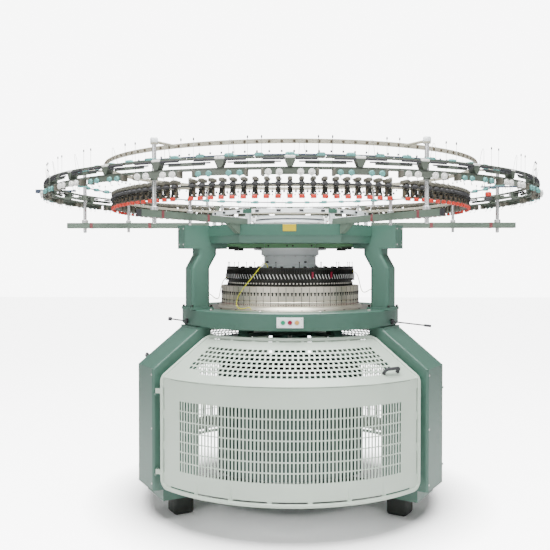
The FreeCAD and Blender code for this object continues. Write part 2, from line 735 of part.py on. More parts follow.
def make_columns():
    half = s.column_width / 2
    middle, shift = s.column_radius, s.column_shift
    foot = s.column_foot / 2
    seat = s.bed_top + s.column_foot_height
    body = padded("column", [
        (middle - half, seat), (middle + half, seat), (middle + half, s.column_bend),
        (middle + half - shift, s.column_neck), (middle + half - shift, s.crown_low),
        (middle - half - shift, s.crown_low), (middle - half - shift, s.column_neck),
        (middle - half, s.column_bend),
    ], s.column_width)

    def corner(edge):
        ends = [v.Point for v in edge.Vertexes]
        level = len(ends) == 2 and abs(ends[0].y - ends[1].y) < 1
        return level and abs(ends[0].z - ends[1].z) > 5

    round_edges(body, "column_round", 22, corner)
    flange = padded("column_foot_plate", [
        (middle - foot, s.bed_top), (middle + foot, s.bed_top), (middle + foot, seat),
        (middle - foot, seat),
    ], s.column_foot)
    bolts = []
    for x in (-1, 1):
        for y in (-1, 1):
            at = Vector(middle.value + x * (foot.value - 9), y * (foot.value - 9), seat.value)
            bolts.append(Part.makeCylinder(5.5, 7, at))
    column = body.Shape.fuse(flange.Shape).fuse(bolts)
    bore = Part.makeCylinder(s.shaft_radius.value + 4, 500,
                             Vector(shaft_place.value, 0, s.bed_top.value - 10))
    driven = column.cut(bore)
    shapes = []
    for side, azimuth in LEGS.items():
        piece = driven.copy() if azimuth == DRIVE_AZIMUTH else column.copy()
        piece.Placement = turned_to(azimuth)
        shapes.extend(piece.Solids)
    made("columns", Part.makeCompound(shapes))


def crown_outline(inset, height):
    """The crown's plan: corners under the arms, and one more towards each column."""
    corners = []
    for azimuth in sorted(a % 360 for a in ARMS + tuple(LEGS.values())):
        radius = s.crown_radius.value if azimuth in ARMS else s.crown_shoulder.value
        corners.append(out(azimuth, radius - inset, height))
    return Part.makePolygon(corners + corners[:1])


def make_crown():
    low, step, top = s.crown_bottom.value, s.crown_step.value, s.crown_top.value
    upper = Part.Face(crown_outline(0, step)).extrude(Vector(0, 0, top - step))
    tapered = Part.makeLoft([crown_outline(s.crown_taper.value, low), crown_outline(3, step)],
                            True, True)
    plates = doc.addObject("Part::Feature", "crown_plates")
    plates.Shape = upper.fuse(tapered)
    parts = [plates]
    for side, azimuth in LEGS.items():
        width = s.drive_block_width if azimuth == DRIVE_AZIMUTH else s.block_width
        parts.append(box("crown_block_" + side, (s.block_inner, s.block_outer),
                         (-width / 2, width / 2), (s.crown_low, s.crown_top), azimuth))
    solid = fused("crown_solid", parts)
    deep = s.crown_top - s.tray_floor
    tray = cylinder("crown_tray", s.tray_radius, deep, (0, 0, s.tray_floor))
    pinion = cylinder("crown_pinion_space", pinion_pitch + s.gear_module + 4, deep,
                      (shaft_place, 0, s.tray_floor), DRIVE_AZIMUTH)
    bore = cylinder("crown_bore", s.dial_shaft + s.running_gap, 60, (0, 0, s.crown_bottom - 10))
    shaft = cylinder("crown_shaft_bore", s.shaft_radius + s.running_gap, 200,
                     (shaft_place, 0, s.crown_low - 20), DRIVE_AZIMUTH)
    keep("crown", cut("crown_shape", solid, [tray, pinion, bore, shaft]))
    top = s.crown_top + s.cover_thick
    disc = cylinder("cover_disc", s.cover_radius, s.cover_thick, (0, 0, s.crown_top))
    tongue = box("cover_tongue", (s.block_inner, s.block_outer - 4),
                 (4 - s.drive_block_width / 2, s.drive_block_width / 2 - 4),
                 (s.crown_top, top), DRIVE_AZIMUTH)
    keep("crown_cover", fused("crown_cover_shape", [disc, tongue]))
    keep("centre_stack", turned("centre_stack_turned", [
        (0, top), (s.stack_radius - 30, top), (s.stack_radius - 30, top + 20),
        (s.stack_radius, top + 24), (s.stack_radius, top + 40),
        (s.stack_radius - 12, top + 44), (s.stack_radius - 12, top + 50),
        (s.stack_radius, top + 54), (s.stack_radius, s.stack_top), (0, s.stack_top),
    ]))


def make_support_ring():
    top = s.crown_top + s.cover_thick
    half = s.support_wide / 2
    hoop = cut("support_hoop",
               cylinder("support_disc", s.support_radius + half,
                        s.support_high - s.support_low, (0, 0, s.support_low)),
               [cylinder("support_hole", s.support_radius - half,
                         s.support_high - s.support_low, (0, 0, s.support_low))])
    parts = [hoop]
    for azimuth in ARMS:
        parts.append(box(f"support_post_{azimuth}",
                         (s.support_radius - half, s.support_radius + half),
                         (-s.support_post / 2, s.support_post / 2),
                         (top, s.support_low + 1), azimuth))
    keep("support_ring", fused("support_ring_shape", parts))


# ---------------------------------------------------------------- arms, poles and rings

def make_arms():
    low = s.crown_top
    tube = box("arm_tube", (s.arm_inner, s.arm_outer), (-s.arm_side / 2, s.arm_side / 2),
               (low, low + s.arm_side))
    reach = s.crown_radius
    web = padded("arm_web", [
        (reach, low), (reach, low - 62), (reach + 14, low - 62), (reach + 125, low),
    ], s.arm_side - 8)
    arm = fused("arm_shape", [tube, web])
    holes = []
    for place, radius in ((s.thick_pole_place, s.thick_pole), (s.thin_pole_place, s.thin_pole)):
        holes.append(cylinder(f"arm_hole_{int(place.value)}", radius + s.running_gap,
                              s.arm_side + 20, (place, 0, low - 10)))
    arm = cut("arm_bored", arm, holes)
    doc.recompute()
    copies("arms", arm.Shape, ARMS)


def make_poles():
    low = s.crown_top.value
    thick = Part.makeCylinder(s.thick_pole.value,
                              s.thick_pole_top.value - low + s.pole_stub.value,
                              Vector(s.thick_pole_place.value, 0, low - s.pole_stub.value))
    thin = Part.makeCylinder(s.thin_pole.value,
                             s.thin_pole_top.value - low + s.pole_stub.value,
                             Vector(s.thin_pole_place.value, 0, low - s.pole_stub.value))
    copies("poles", Part.makeCompound([thick, thin]), ARMS)


def make_eyelet_ring():
    radius, half = s.eyelet_radius.value, s.eyelet_thick.value / 2
    top, band = s.eyelet_top.value, s.eyelet_band.value
    hoop = ring(radius - half, radius + half, top - band, top)
    parts = []
    tie_radius = 8
    height = top - band / 2
    for azimuth in ARMS:
        inner = out(azimuth, radius + half - 2, height)
        outer = out(azimuth, s.thick_pole_place.value - s.thick_pole.value - 3, height)
        parts.append(rod(inner, outer, tie_radius))
        collar = Part.makeCylinder(s.thick_pole.value + 9, 30,
                                   out(azimuth, s.thick_pole_place.value, height - 15))
        bore = Part.makeCylinder(s.thick_pole.value + s.running_gap.value, 30,
                                 out(azimuth, s.thick_pole_place.value, height - 15))
        parts.append(collar.cut(bore))
    made("eyelet_ring", hoop.multiFuse(parts))


def make_clamp_ring():
    radius, tube = s.blue_radius.value, s.blue_tube.value
    height = s.blue_height.value
    made("clamp_ring", Part.makeTorus(radius, tube, Vector(0, 0, height)))
    clip = block(radius - 13, radius + 13, -23, 23, height - 11, height + 11)
    clip = clip.makeFillet(9, [e for e in clip.Edges if abs(e.tangentAt(0).x) > 0.9])
    groove = Part.makeTorus(radius, tube + s.running_gap.value, Vector(0, 0, height))
    clip = clip.cut(groove)
    pitch = 360 / s.clamp_count.value
    parts = []
    for i in range(int(s.clamp_count.value)):
        clamp = clip.copy()
        clamp.rotate(Vector(), Vector(0, 0, 1), i * pitch)
        parts.append(clamp)
    for azimuth in ARMS:
        inner = s.thick_pole_place.value
        band = Part.makeCylinder(s.thick_pole.value + 8, 24,
                                 out(azimuth, inner, height - 12))
        bore = Part.makeCylinder(s.thick_pole.value + s.running_gap.value, 24,
                                 out(azimuth, inner, height - 12))
        finger = block(inner + s.thick_pole.value + 2, radius - tube - s.clear_gap.value,
                       -7, 7, height - 7, height + 7)
        finger.rotate(Vector(), Vector(0, 0, 1), azimuth - 90)
        parts.append(band.cut(bore).fuse(finger))
    made("ring_clamps", Part.makeCompound(parts))


def make_stop_ring():
    radius = s.stop_radius.value
    half = s.stop_rail_wide.value / 2
    low = s.stop_bottom.value
    high = low + s.stop_rail_tall.value
    hoop = ring(radius - half, radius + half, low, high)
    parts = []
    for azimuth in ARMS:
        inner = s.thick_pole_place.value
        beam = block(inner + s.thick_pole.value + 2, radius - half + 2, -12, 12, low, high)
        beam.rotate(Vector(), Vector(0, 0, 1), azimuth - 90)
        parts.append(beam)
        collar = Part.makeCylinder(s.thick_pole.value + 9, 34, out(azimuth, inner, low - 11))
        bore = Part.makeCylinder(s.thick_pole.value + s.running_gap.value, 34,
                                 out(azimuth, inner, low - 11))
        parts.append(collar.cut(bore))
    made("stop_rail", hoop.multiFuse(parts))
    long = s.boat_long.value / 2
    top = s.boat_top.value
    profile = [Vector(radius - 22, -long * 0.45, high), Vector(radius - 22, long * 0.45, high),
               Vector(radius - 22, long, top - 22), Vector(radius - 22, long, top - 8),
               Vector(radius - 22, -long, top - 8), Vector(radius - 22, -long, top - 22)]
    boat = Part.Face(Part.makePolygon(profile + profile[:1])).extrude(Vector(44, 0, 0))
    pitch = 360 / s.clamp_count.value
    middles = [i * pitch for i in range(int(s.clamp_count.value))]
    copies("stop_boats", boat, middles)
    gap = s.clear_gap.value
    bar = sector([(radius + half + gap, s.bar_bottom.value), (radius + half + 14, s.bar_bottom.value),
                  (radius + half + 14, s.stop_bottom.value), (radius - 10, s.stop_bottom.value),
                  (radius - 10, s.stop_bottom.value - 6), (radius + half + gap, s.stop_bottom.value - 6)],
                 s.bar_half_angle.value)
    channel = sector([(radius - 20, top - 8), (radius + 20, top - 8), (radius + 20, top),
                      (radius + 12, top), (radius + 12, top - 4), (radius - 12, top - 4),
                      (radius - 12, top), (radius - 20, top)], pitch / 2 - 0.1)
    copies("stop_bars", Part.makeCompound([bar, channel]), middles)


def feeder_azimuths():
    places = []
    for start in ARMS:
        for i in range(int(s.feeder_count.value)):
            places.append(start + (i + 0.5 + (20 - s.feeder_count.value) / 2) * s.feeder_pitch.value)
    return places


def make_feeders():
    radius = s.feeder_radius.value
    side = s.rail_side.value
    low, top = s.feeder_low.value, s.feeder_top.value
    rail_low = low + 52
    inner = s.thin_pole_place.value
    hoop = ring(radius - side / 2 - 4, radius + side / 2 - 4, rail_low, rail_low + side)
    parts = []
    for azimuth in ARMS:
        collar = Part.makeCylinder(s.thin_pole.value + 12, side, out(azimuth, inner, rail_low))
        bore = Part.makeCylinder(s.thin_pole.value + s.running_gap.value, side,
                                 out(azimuth, inner, rail_low))
        bridge = block(inner + s.thin_pole.value + 2, radius - 8, -10, 10,
                       rail_low, rail_low + side)
        bridge.rotate(Vector(), Vector(0, 0, 1), azimuth - 90)
        parts.append(collar.cut(bore).fuse(bridge))
    made("feeder_rail", hoop.multiFuse(parts))
    half = s.feeder_wide.value / 2
    front = radius + side / 2 - 4 + s.clear_gap.value
    case = block(front, front + 44, -half, half, rail_low - 4, rail_low + side + 4)
    hood = block(front - 26, front + 44, -half * 0.8, half * 0.8, rail_low + side + 4, top)
    leg = block(front + 2, front + 12, -5, 5, low, rail_low - 4)
    feeder = case.multiFuse([hood, leg])
    places = feeder_azimuths()
    copies("yarn_feeders", feeder, places)
    wheel = s.wheel_radius.value
    lower = Part.makeCylinder(wheel * 0.8, 30, Vector(front + 30, 0, rail_low - 38))
    neck = Part.makeCylinder(6, 4, Vector(front + 30, 0, rail_low - 8))
    copies("feeder_wheels", lower.fuse(neck), places)
    belt = ring(front + 44.3, front + 46.3, rail_low + 4, rail_low + 14)
    made("feeder_belt", belt)


# ---------------------------------------------------------------- guard doors

def door_frame():
    """The tube frame round a guard door whose middle is along +X."""
    tube = s.guard_tube.value
    corner = s.guard_corner.value
    low, bend, top = s.guard_bottom.value, s.guard_bend.value, s.guard_top.value
    radius, top_radius = s.guard_radius.value, s.guard_top_radius.value
    half, top_half = s.guard_half.value, s.guard_top_half.value
    inset = math.degrees(1.15 * corner / radius)
    top_inset = math.degrees(1.15 * corner / top_radius)

    def point(angle, reach, height):
        a = math.radians(angle)
        return Vector(reach * math.cos(a), reach * math.sin(a), height)

    side_radius = radius / math.cos(math.radians(inset))
    top_side = top_radius / math.cos(math.radians(top_inset))
    edges = []
    for sign in (-1, 1):
        path = [
            point(sign * (half - inset), radius, low),
            point(sign * half, side_radius, low),
            point(sign * half, side_radius, bend),
            point(sign * top_half, top_side, top),
            point(sign * (top_half - top_inset), top_radius, top),
        ]
        edges.append(rounded(path, corner))
    bottom = Part.Arc(point(-(half - inset), radius, low), point(0, radius, low),
                      point(half - inset, radius, low)).toShape()
    upper = Part.Arc(point(-(top_half - top_inset), top_radius, top),
                     point(0, top_radius, top),
                     point(top_half - top_inset, top_radius, top)).toShape()
    pieces = [tube_along(e, tube) for e in edges]
    pieces.append(tube_along([bottom], tube))
    pieces.append(tube_along([upper], tube))
    return pieces[0].multiFuse(pieces[1:]), side_radius


def door_hinge_eyes(side_radius):
    eye = s.hinge_eye.value
    turn = s.hinge_azimuth.value
    a = math.radians(turn)
    axis = Vector(s.hinge_radius.value * math.cos(a), s.hinge_radius.value * math.sin(a), 0)
    edge = math.radians(-s.guard_half.value)
    post = Vector(side_radius * math.cos(edge), side_radius * math.sin(edge), 0)
    eyes, bores = [], []
    length = s.hinge_length.value
    for height in hinge_heights():
        low = height - length / 2
        eyes.append(Part.makeCylinder(eye, length, axis + Vector(0, 0, low)))
        reach = (post - axis).Length
        strap = block(0, reach, -4, 4, low, low + length)
        bearing = math.degrees(math.atan2(post.y - axis.y, post.x - axis.x))
        strap.rotate(Vector(), Vector(0, 0, 1), bearing)
        strap.translate(axis)
        eyes.append(strap)
        bores.append(Part.makeCylinder(s.hinge_pin.value + s.running_gap.value, length + 2,
                                       axis + Vector(0, 0, low - 1)))
    return eyes, bores


def hinge_heights():
    return s.guard_bottom.value + 90, s.guard_bend.value - 90


def slot_cutters():
    """The tall slots in the lower sheet, in rows and columns, and its edge slits."""
    radius = s.guard_radius.value
    near, far = radius - 20, radius + 20
    half_slot = math.degrees(s.slot_wide.value / 2 / radius)
    step = s.slot_step.value
    tools = []
    columns = int(s.slot_columns.value)
    for row in range(int(s.slot_rows.value)):
        low = s.slot_low.value + row * s.slot_pitch.value
        high = low + s.slot_tall.value
        section = [(near, low), (far, low), (far, high), (near, high)]
        for column in range(columns):
            middle = (column - (columns - 1) / 2) * step
            tools.append(sector(section, half_slot, middle))
    wide = s.slit_wide.value
    edge = s.guard_bottom.value + s.guard_tube.value
    slit = [(near, edge), (far, edge), (far, edge + wide), (near, edge + wide)]
    for i in range(-3, 4):
        tools.append(sector(slit, 5.6, i * 12.8))
    side = math.degrees((s.guard_tube.value + 1.5) / radius)
    slit_half = math.degrees(wide / 2 / radius)
    bend = s.guard_bend.value
    for sign in (-1, 1):
        middle = sign * (s.guard_half.value - side - slit_half)
        for i in range(3):
            low = edge + 80 + i * 200
            tools.append(sector([(near, low), (far, low), (far, min(low + 150, bend - 40)),
                                 (near, min(low + 150, bend - 40))], slit_half, middle))
    return tools


def slope_point(distance, offset):
    """The (radius, height) a distance up the cone from its lower edge, and off its face."""
    run = s.guard_radius.value - s.guard_top_radius.value
    rise = s.guard_top.value - s.guard_bend.value
    length = math.hypot(run, rise)
    ux, uz = -run / length, rise / length
    return (s.guard_radius.value + ux * distance + uz * offset,
            s.guard_bend.value + uz * distance - ux * offset)


def square_cutters():
    """The square holes in the upper sheet: rows that widen upwards from the lowest."""
    tools = []
    side = s.square_side.value
    pitch = s.square_pitch.value
    slope = math.hypot(s.guard_radius.value - s.guard_top_radius.value,
                       s.guard_top.value - s.guard_bend.value)
    for row in range(int(s.square_rows.value)):
        low = s.square_first.value + row * s.square_row_pitch.value
        section = [slope_point(low, -20), slope_point(low + side, -20),
                   slope_point(low + side, 20), slope_point(low, 20)]
        reach = slope_point(low + side / 2, 0)[0]
        step = math.degrees(pitch / reach)
        limit = s.guard_top_half.value - math.degrees(s.square_edge.value * 2.2 / reach)
        if row == 0:
            limit *= 0.82
        count = int(2 * limit / step)
        for column in range(count + 1):
            middle = (column - count / 2) * step
            tools.append(sector(section, math.degrees(side / 2 / reach), middle))
    wide = s.slit_wide.value
    high = slope - s.guard_tube.value - 1
    slit = [slope_point(high - wide, -20), slope_point(high, -20),
            slope_point(high, 20), slope_point(high - wide, 20)]
    for i in range(-3, 4):
        tools.append(sector(slit, 5.2, i * 11.8))
    return tools


def make_doors():
    frame, side_radius = door_frame()
    eyes, bores = door_hinge_eyes(side_radius)
    plain = frame
    frame = frame.multiFuse(eyes)
    for bore in bores:
        frame = frame.cut(bore)
    half_thick = s.sheet_thick.value / 2
    radius = s.guard_radius.value
    lower = sector([(radius - half_thick, s.guard_bottom.value),
                    (radius + half_thick, s.guard_bottom.value),
                    (radius + half_thick, s.guard_bend.value - 0.5),
                    (radius - half_thick, s.guard_bend.value - 0.5)], s.guard_half.value)
    lower = largest(lower.cut(frame))
    lower = largest(lower.cut(Part.makeCompound(slot_cutters())))
    slope = math.hypot(radius - s.guard_top_radius.value,
                       s.guard_top.value - s.guard_bend.value)
    upper = sector([slope_point(1.5, -half_thick), slope_point(slope, -half_thick),
                    slope_point(slope, half_thick), slope_point(1.5, half_thick)],
                   s.guard_half.value)
    upper = upper.cut(side_trims())
    upper = largest(upper.cut(plain))
    upper = largest(upper.cut(Part.makeCompound(square_cutters())))
    handle = door_handle()
    for name, azimuth in (("front", FRONT_DOOR), ("right", RIGHT_DOOR), ("left", LEFT_DOOR)):
        copies(f"guard_frame_{name}", frame, [azimuth])
        copies(f"guard_sheets_{name}", Part.makeCompound([lower, upper]), [azimuth])
        copies(f"guard_handle_{name}", handle, [azimuth])
    make_hinge_brackets()


def side_trims():
    """Wedges outside the sloping side tubes, where the upper sheet stops."""
    low, high = s.guard_bend.value - 10, s.guard_top.value + 60
    tools = []
    for sign in (-1, 1):
        a, b = (math.radians(sign * t) for t in (s.guard_half.value, s.guard_top_half.value))
        near = Vector(s.guard_top_radius.value * math.cos(b),
                      s.guard_top_radius.value * math.sin(b), low)
        far = Vector(s.guard_radius.value * math.cos(a), s.guard_radius.value * math.sin(a), low)
        along = (far - near).normalize()
        side = Vector(-along.y, along.x, 0) * (sign * 200)
        corners = [near - along * 120, far + along * 120, far + along * 120 + side,
                   near - along * 120 + side]
        face = Part.Face(Part.makePolygon(corners + corners[:1]))
        tools.append(face.extrude(Vector(0, 0, high - low)))
    return Part.makeCompound(tools)


def largest(shape):
    return max(shape.Solids, key=lambda solid: solid.Volume)


def door_handle():
    """A D handle that stands off the upper sheet near its free side."""
    run = s.guard_radius.value - s.guard_top_radius.value
    rise = s.guard_top.value - s.guard_bend.value
    lean = math.atan2(rise, run)
    spread, foot = 60, 13
    fall = (spread - foot) ** 2 * math.sin(lean) / 2 / slope_point(s.handle_up.value, 0)[0]
    r, z = slope_point(s.handle_up.value, s.sheet_thick.value / 2 + s.clear_gap.value - fall)
    path = [Vector(0, -spread, 0), Vector(0, -spread, 34), Vector(0, spread, 34),
            Vector(0, spread, 0)]
    grip = tube_along(rounded(path, 18), 10)
    feet = [Part.makeCylinder(foot, 5, Vector(0, y, 0)) for y in (-spread, spread)]
    handle = grip.multiFuse(feet)
    handle.rotate(Vector(), Vector(0, 1, 0), math.degrees(lean))
    handle.translate(Vector(r, 0, z))
    handle.rotate(Vector(), Vector(0, 0, 1), 38)
    return handle


def make_hinge_brackets():
    parts = []
    leg_side = s.leg_width.value / 2
    turn = math.radians(s.leg_azimuth.value + s.hinge_azimuth.value)
    along = s.hinge_radius.value * math.cos(turn)
    across = s.hinge_radius.value * math.sin(turn)
    length = s.hinge_length.value
    for height in hinge_heights():
        low = height - length / 2
        plate = block(along - 15, along + 15, leg_side, across + 13, low - 12, low - 0.3)
        pin = Part.makeCylinder(s.hinge_pin.value, length + 16, Vector(along, across, low - 6))
        parts.append(plate.fuse(pin))
    shape = Part.makeCompound(parts)
    copies("hinge_brackets", shape, LEGS.values())


# ---------------------------------------------------------------- controls and odds

def make_controls():
    radius = s.bed_radius.value
    half, thick = s.panel_wide.value / 2, s.panel_thick.value
    middle = s.panel_height.value
    tall = s.panel_tall.value / 2
    back = radius * math.cos(math.asin(half / radius)) - 2
    face_at = radius + thick
    plate = block(back, face_at, -half, half, middle - tall, middle + tall)
    plate = plate.cut(Part.makeCylinder(radius + s.clear_gap.value, 400, Vector(0, 0, 1100)))
    bore = s.button_radius.value + s.clear_gap.value
    for side in (-1, 0, 1):
        hole = Part.makeCylinder(bore, 8, Vector(face_at - 7, side * s.button_spread.value, middle),
                                 Vector(1, 0, 0))
        plate = plate.cut(hole)
    copies("button_panel", plate, [0])
    for name, side in (("start", -1), ("stop", 0), ("inch", 1)):
        button = Part.makeCylinder(s.button_radius.value, 10,
                                   Vector(face_at - 7 + s.button_travel.value + 0.3,
                                          side * s.button_spread.value, middle),
                                   Vector(1, 0, 0))
        copies(f"{name}_button", button, [0])
    make_levers()


def make_levers():
    height = s.bed_bottom.value + 30
    for name, azimuth, long in (("right_lever", 62, 270), ("left_lever", -64, 130)):
        start = out(azimuth, s.bed_radius.value + s.clear_gap.value, height)
        outward = out(azimuth, 1.0).normalize()
        side = Vector(-outward.y, outward.x, 0)
        sign = 1 if name == "right_lever" else -1
        hub = rod(start, start + outward * 16, 17)
        heading = (side * (0.6 * sign) + outward * 0.9 + Vector(0, 0, -0.13 * sign)).normalize()
        bar = rod(start + outward * 8, start + outward * 8 + heading * long, 5)
        tip = start + outward * 8 + heading * long
        grip = rod(tip - heading * (46 if sign > 0 else 22), tip, 9 if sign > 0 else 13)
        made(name, hub.multiFuse([bar, grip]))


def make_outriggers():
    radius = s.stop_radius.value
    high = s.boat_top.value
    start = out(-96, radius - 60, high + 9)
    end = out(-96, radius + 250, high + 9)
    bar = rod(start, end, 7)
    parts = []
    for reach in (120, 230):
        at = out(-96, radius + reach, high + 9)
        lump = block(-26, 26, -16, 16, -14, 14)
        lump.rotate(Vector(), Vector(0, 0, 1), -96 - 90)
        lump.translate(at)
        parts.append(lump)
    saddle = block(-20, 20, -14, 14, -9, 0)
    saddle.rotate(Vector(), Vector(0, 0, 1), -96 - 90)
    saddle.translate(out(-96, radius, high + 9))
    left = bar.multiFuse(parts + [saddle])
    right_at = 86
    bar_start = out(right_at, radius - 330, high + 6)
    bar_end = out(right_at, radius + 60, high + 6)
    silver = rod(bar_start, bar_end, 6)
    plug = rod(bar_end - (bar_end - bar_start).normalize() * 20, bar_end, 10)
    seat = block(-20, 20, -14, 14, -6, 0)
    seat.rotate(Vector(), Vector(0, 0, 1), right_at - 90)
    seat.translate(out(right_at, radius, high + 6))
    right = silver.multiFuse([plug, seat])
    made("outriggers", Part.makeCompound([left, right]))


# ---------------------------------------------------------------- hoses

HOSE_RADIUS = 3.0
HOSES = {
    "left_hose": [
        (-577.6, -333.5, 1488), (-552, -318, 1478), (-528, -296, 1452), (-508, -262, 1440),
        (-500, -215, 1452), (-498, -172, 1490), (-490, -145, 1535), (-474, -133, 1580),
        (-441.2, -124.2, 1600),
    ],
    "right_hose": [
        (577.6, -333.5, 1521), (553, -318, 1512), (530, -290, 1492), (512, -252, 1488),
        (503, -212, 1504), (497, -176, 1540), (490, -152, 1580), (478, -135, 1622),
        (441.2, -124.2, 1640),
    ],
    "centre_hose": [
        (-150, -428, 1661), (-155, -440, 1684), (-171, -466, 1694), (-196, -490, 1672),
        (-225, -498, 1632), (-258, -492, 1590), (-292, -476, 1550), (-325, -455, 1508),
        (-350, -436, 1468), (-364, -428, 1430), (-361, -436, 1400), (-343, -452, 1386),
        (-317, -470, 1385), (-291, -485, 1391), (-270, -496, 1400), (-258, -502, 1379),
    ],
}


def make_hoses():
    for name, points in HOSES.items():
        route = [Vector(*p) for p in points]

        def arc_radius(i, route=route):
            before = (route[i - 1] - route[i]).Length
            after = (route[i + 1] - route[i]).Length
            turn = math.pi - (route[i - 1] - route[i]).getAngle(route[i + 1] - route[i])
            radius = 0.45 * min(before, after) / math.tan(turn / 2)
            print(f"{name} point {i}: radius {radius:.0f} mm")
            return radius

        edges = rounded(route, arc_radius)
        tube = tube_along(edges, HOSE_RADIUS)
        length = sum(edge.Length for edge in edges)
        print(f"{name}: {length:.0f} mm, volume share "
              f"{tube.Volume / (math.pi * HOSE_RADIUS ** 2 * length):.4f}")
        made(name, tube)


def check_and_write():
    doc.recompute()
    for thing in doc.Objects:
        bad = [word for word in thing.State if word in ("Invalid", "Error")]
        if bad:
            raise ValueError(f"{thing.Name} is {bad}")
    os.makedirs("parts", exist_ok=True)
    for name, thing in nodes.items():
        shape = thing.Shape
        if shape.isNull() or not shape.isValid() or not shape.Solids:
            raise ValueError(name + " has no valid shape")
        shape.exportStep(f"parts/{name}.step")
        print(f"{name}: {len(shape.Solids)} solids, {shape.Volume / 1e6:.2f} litres")


make_base()
make_legs()
make_bed()
make_cams()
make_feeder_ring()
make_rotor()
make_rollers()
make_drive()
make_dial()
make_housing()
make_columns()
make_crown()
make_support_ring()
make_arms()
make_poles()
make_eyelet_ring()
make_clamp_ring()
make_stop_ring()
make_feeders()
make_doors()
make_controls()
make_outriggers()
make_hoses()
check_and_write()
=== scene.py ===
import math

import bpy
from mathutils import Matrix, Vector


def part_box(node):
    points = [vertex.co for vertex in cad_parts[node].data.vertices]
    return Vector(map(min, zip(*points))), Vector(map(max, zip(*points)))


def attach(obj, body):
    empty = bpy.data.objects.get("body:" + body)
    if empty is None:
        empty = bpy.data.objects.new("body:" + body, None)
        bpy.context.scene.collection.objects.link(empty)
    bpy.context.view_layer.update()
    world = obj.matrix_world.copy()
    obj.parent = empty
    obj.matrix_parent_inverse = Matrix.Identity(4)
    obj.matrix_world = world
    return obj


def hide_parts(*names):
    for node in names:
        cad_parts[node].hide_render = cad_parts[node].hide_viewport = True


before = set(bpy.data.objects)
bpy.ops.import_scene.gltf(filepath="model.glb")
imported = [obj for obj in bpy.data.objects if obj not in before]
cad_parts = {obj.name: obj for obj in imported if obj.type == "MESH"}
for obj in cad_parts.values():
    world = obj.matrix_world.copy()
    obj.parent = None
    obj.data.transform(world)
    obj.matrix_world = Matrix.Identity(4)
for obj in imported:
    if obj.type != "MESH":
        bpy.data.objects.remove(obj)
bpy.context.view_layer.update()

bl_info = {
    "name": "Circular knitting machine",
    "version": (1, 0, 0),
    "blender": (4, 5, 0),
    "location": "View3D > Sidebar > Knitting machine",
    "description": "Finishes and fittings of a large circular knitting machine",
    "category": "Object",
}

# The front of the machine is -Y and the floor is z = 0.  Azimuths are in degrees from the
# front towards +X.  A piece that stands round the machine is modelled along +X, so x is its
# distance from the axis and y runs round the machine, and ring_of then carries it round.

LEG_START, LEG_COUNT, LEG_PLACE = 60, 3, 0.86
ARM_START, ARM_COUNT = 30, 6
MODULES = 30
FEEDERS_PER_SECTOR, FEEDER_PITCH = 19, 3
DOORS = {"front": 0, "right": 120, "left": -120}
THIN_POLE, THICK_POLE = 1.190, 1.513
RIM_SHARPNESS = 65


def low(node):
    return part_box(node)[0]


def high(node):
    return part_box(node)[1]


# ---------------------------------------------------------------- modelling helpers

def only(*pieces):
    """Selects these objects and nothing else."""
    bpy.ops.object.select_all(action="DESELECT")
    for piece in pieces:
        piece.select_set(True)
    bpy.context.view_layer.objects.active = pieces[0]


def named(name):
    piece = bpy.context.object
    piece.name = name
    piece.data.name = name
    return piece


def settle(piece):
    """Puts an object's place, turn and scale into its mesh."""
    only(piece)
    bpy.ops.object.transform_apply(location=True, rotation=True, scale=True)
    return piece


def edit(piece, select="SELECT"):
    """Opens a mesh for editing with all of it, or none of it, selected."""
    only(piece)
    bpy.ops.object.mode_set(mode="EDIT")
    bpy.ops.mesh.select_mode(type="EDGE")
    bpy.ops.mesh.select_all(action=select)


def leave_edit():
    bpy.ops.object.mode_set(mode="OBJECT")


def round_sharp(piece, width, segments=1, sharpness=50):
    """Bevels the edges that turn by more than the sharpness, in degrees."""
    edit(piece, "DESELECT")
    bpy.ops.mesh.edges_select_sharp(sharpness=math.radians(sharpness))
    bpy.ops.mesh.bevel(offset=width, segments=segments, affect="EDGES")
    leave_edit()
    return piece


def step_faces(piece, direction, inset, depth):
    """Insets the faces that look along a direction and moves the inner ones out or in."""
    edit(piece, "DESELECT")
    bpy.ops.mesh.select_mode(type="FACE")
    leave_edit()
    direction = Vector(direction)
    for face in piece.data.polygons:
        face.select = face.normal.dot(direction) > 0.999
    bpy.ops.object.mode_set(mode="EDIT")
    bpy.ops.mesh.inset(thickness=inset, depth=0)
    bpy.ops.mesh.extrude_region_move(TRANSFORM_OT_translate={"value": direction * depth})
    leave_edit()
    return piece


def block(name, start, end, round_off=0.002, segments=1):
    """A box from one corner to the other with rounded edges."""
    start, end = Vector(start), Vector(end)
    bpy.ops.object.select_all(action="DESELECT")
    bpy.ops.mesh.primitive_cube_add(size=1, location=(start + end) / 2, scale=end - start)
    return round_sharp(settle(named(name)), round_off, segments)


def drum(name, centre, radius, length, axis="Z", sides=12, round_off=0.001):
    """A short cylinder about its centre along one axis, its rims rounded."""
    turns = {"X": (0, math.pi / 2, 0), "Y": (math.pi / 2, 0, 0), "Z": (0, 0, 0)}
    bpy.ops.object.select_all(action="DESELECT")
    bpy.ops.mesh.primitive_cylinder_add(
        vertices=sides, radius=radius, depth=length, location=centre, rotation=turns[axis])
    return round_sharp(settle(named(name)), round_off, 1, RIM_SHARPNESS)


def rod(name, start, end, radius, sides=8):
    """A straight rod between two points, its ends chamfered."""
    start, end = Vector(start), Vector(end)
    bpy.ops.object.select_all(action="DESELECT")
    bpy.ops.mesh.primitive_cylinder_add(
        vertices=sides, radius=radius, depth=(end - start).length,
        location=(start + end) / 2, rotation=(end - start).to_track_quat("Z", "Y").to_euler())
    return round_sharp(settle(named(name)), radius * 0.3, 1, RIM_SHARPNESS)


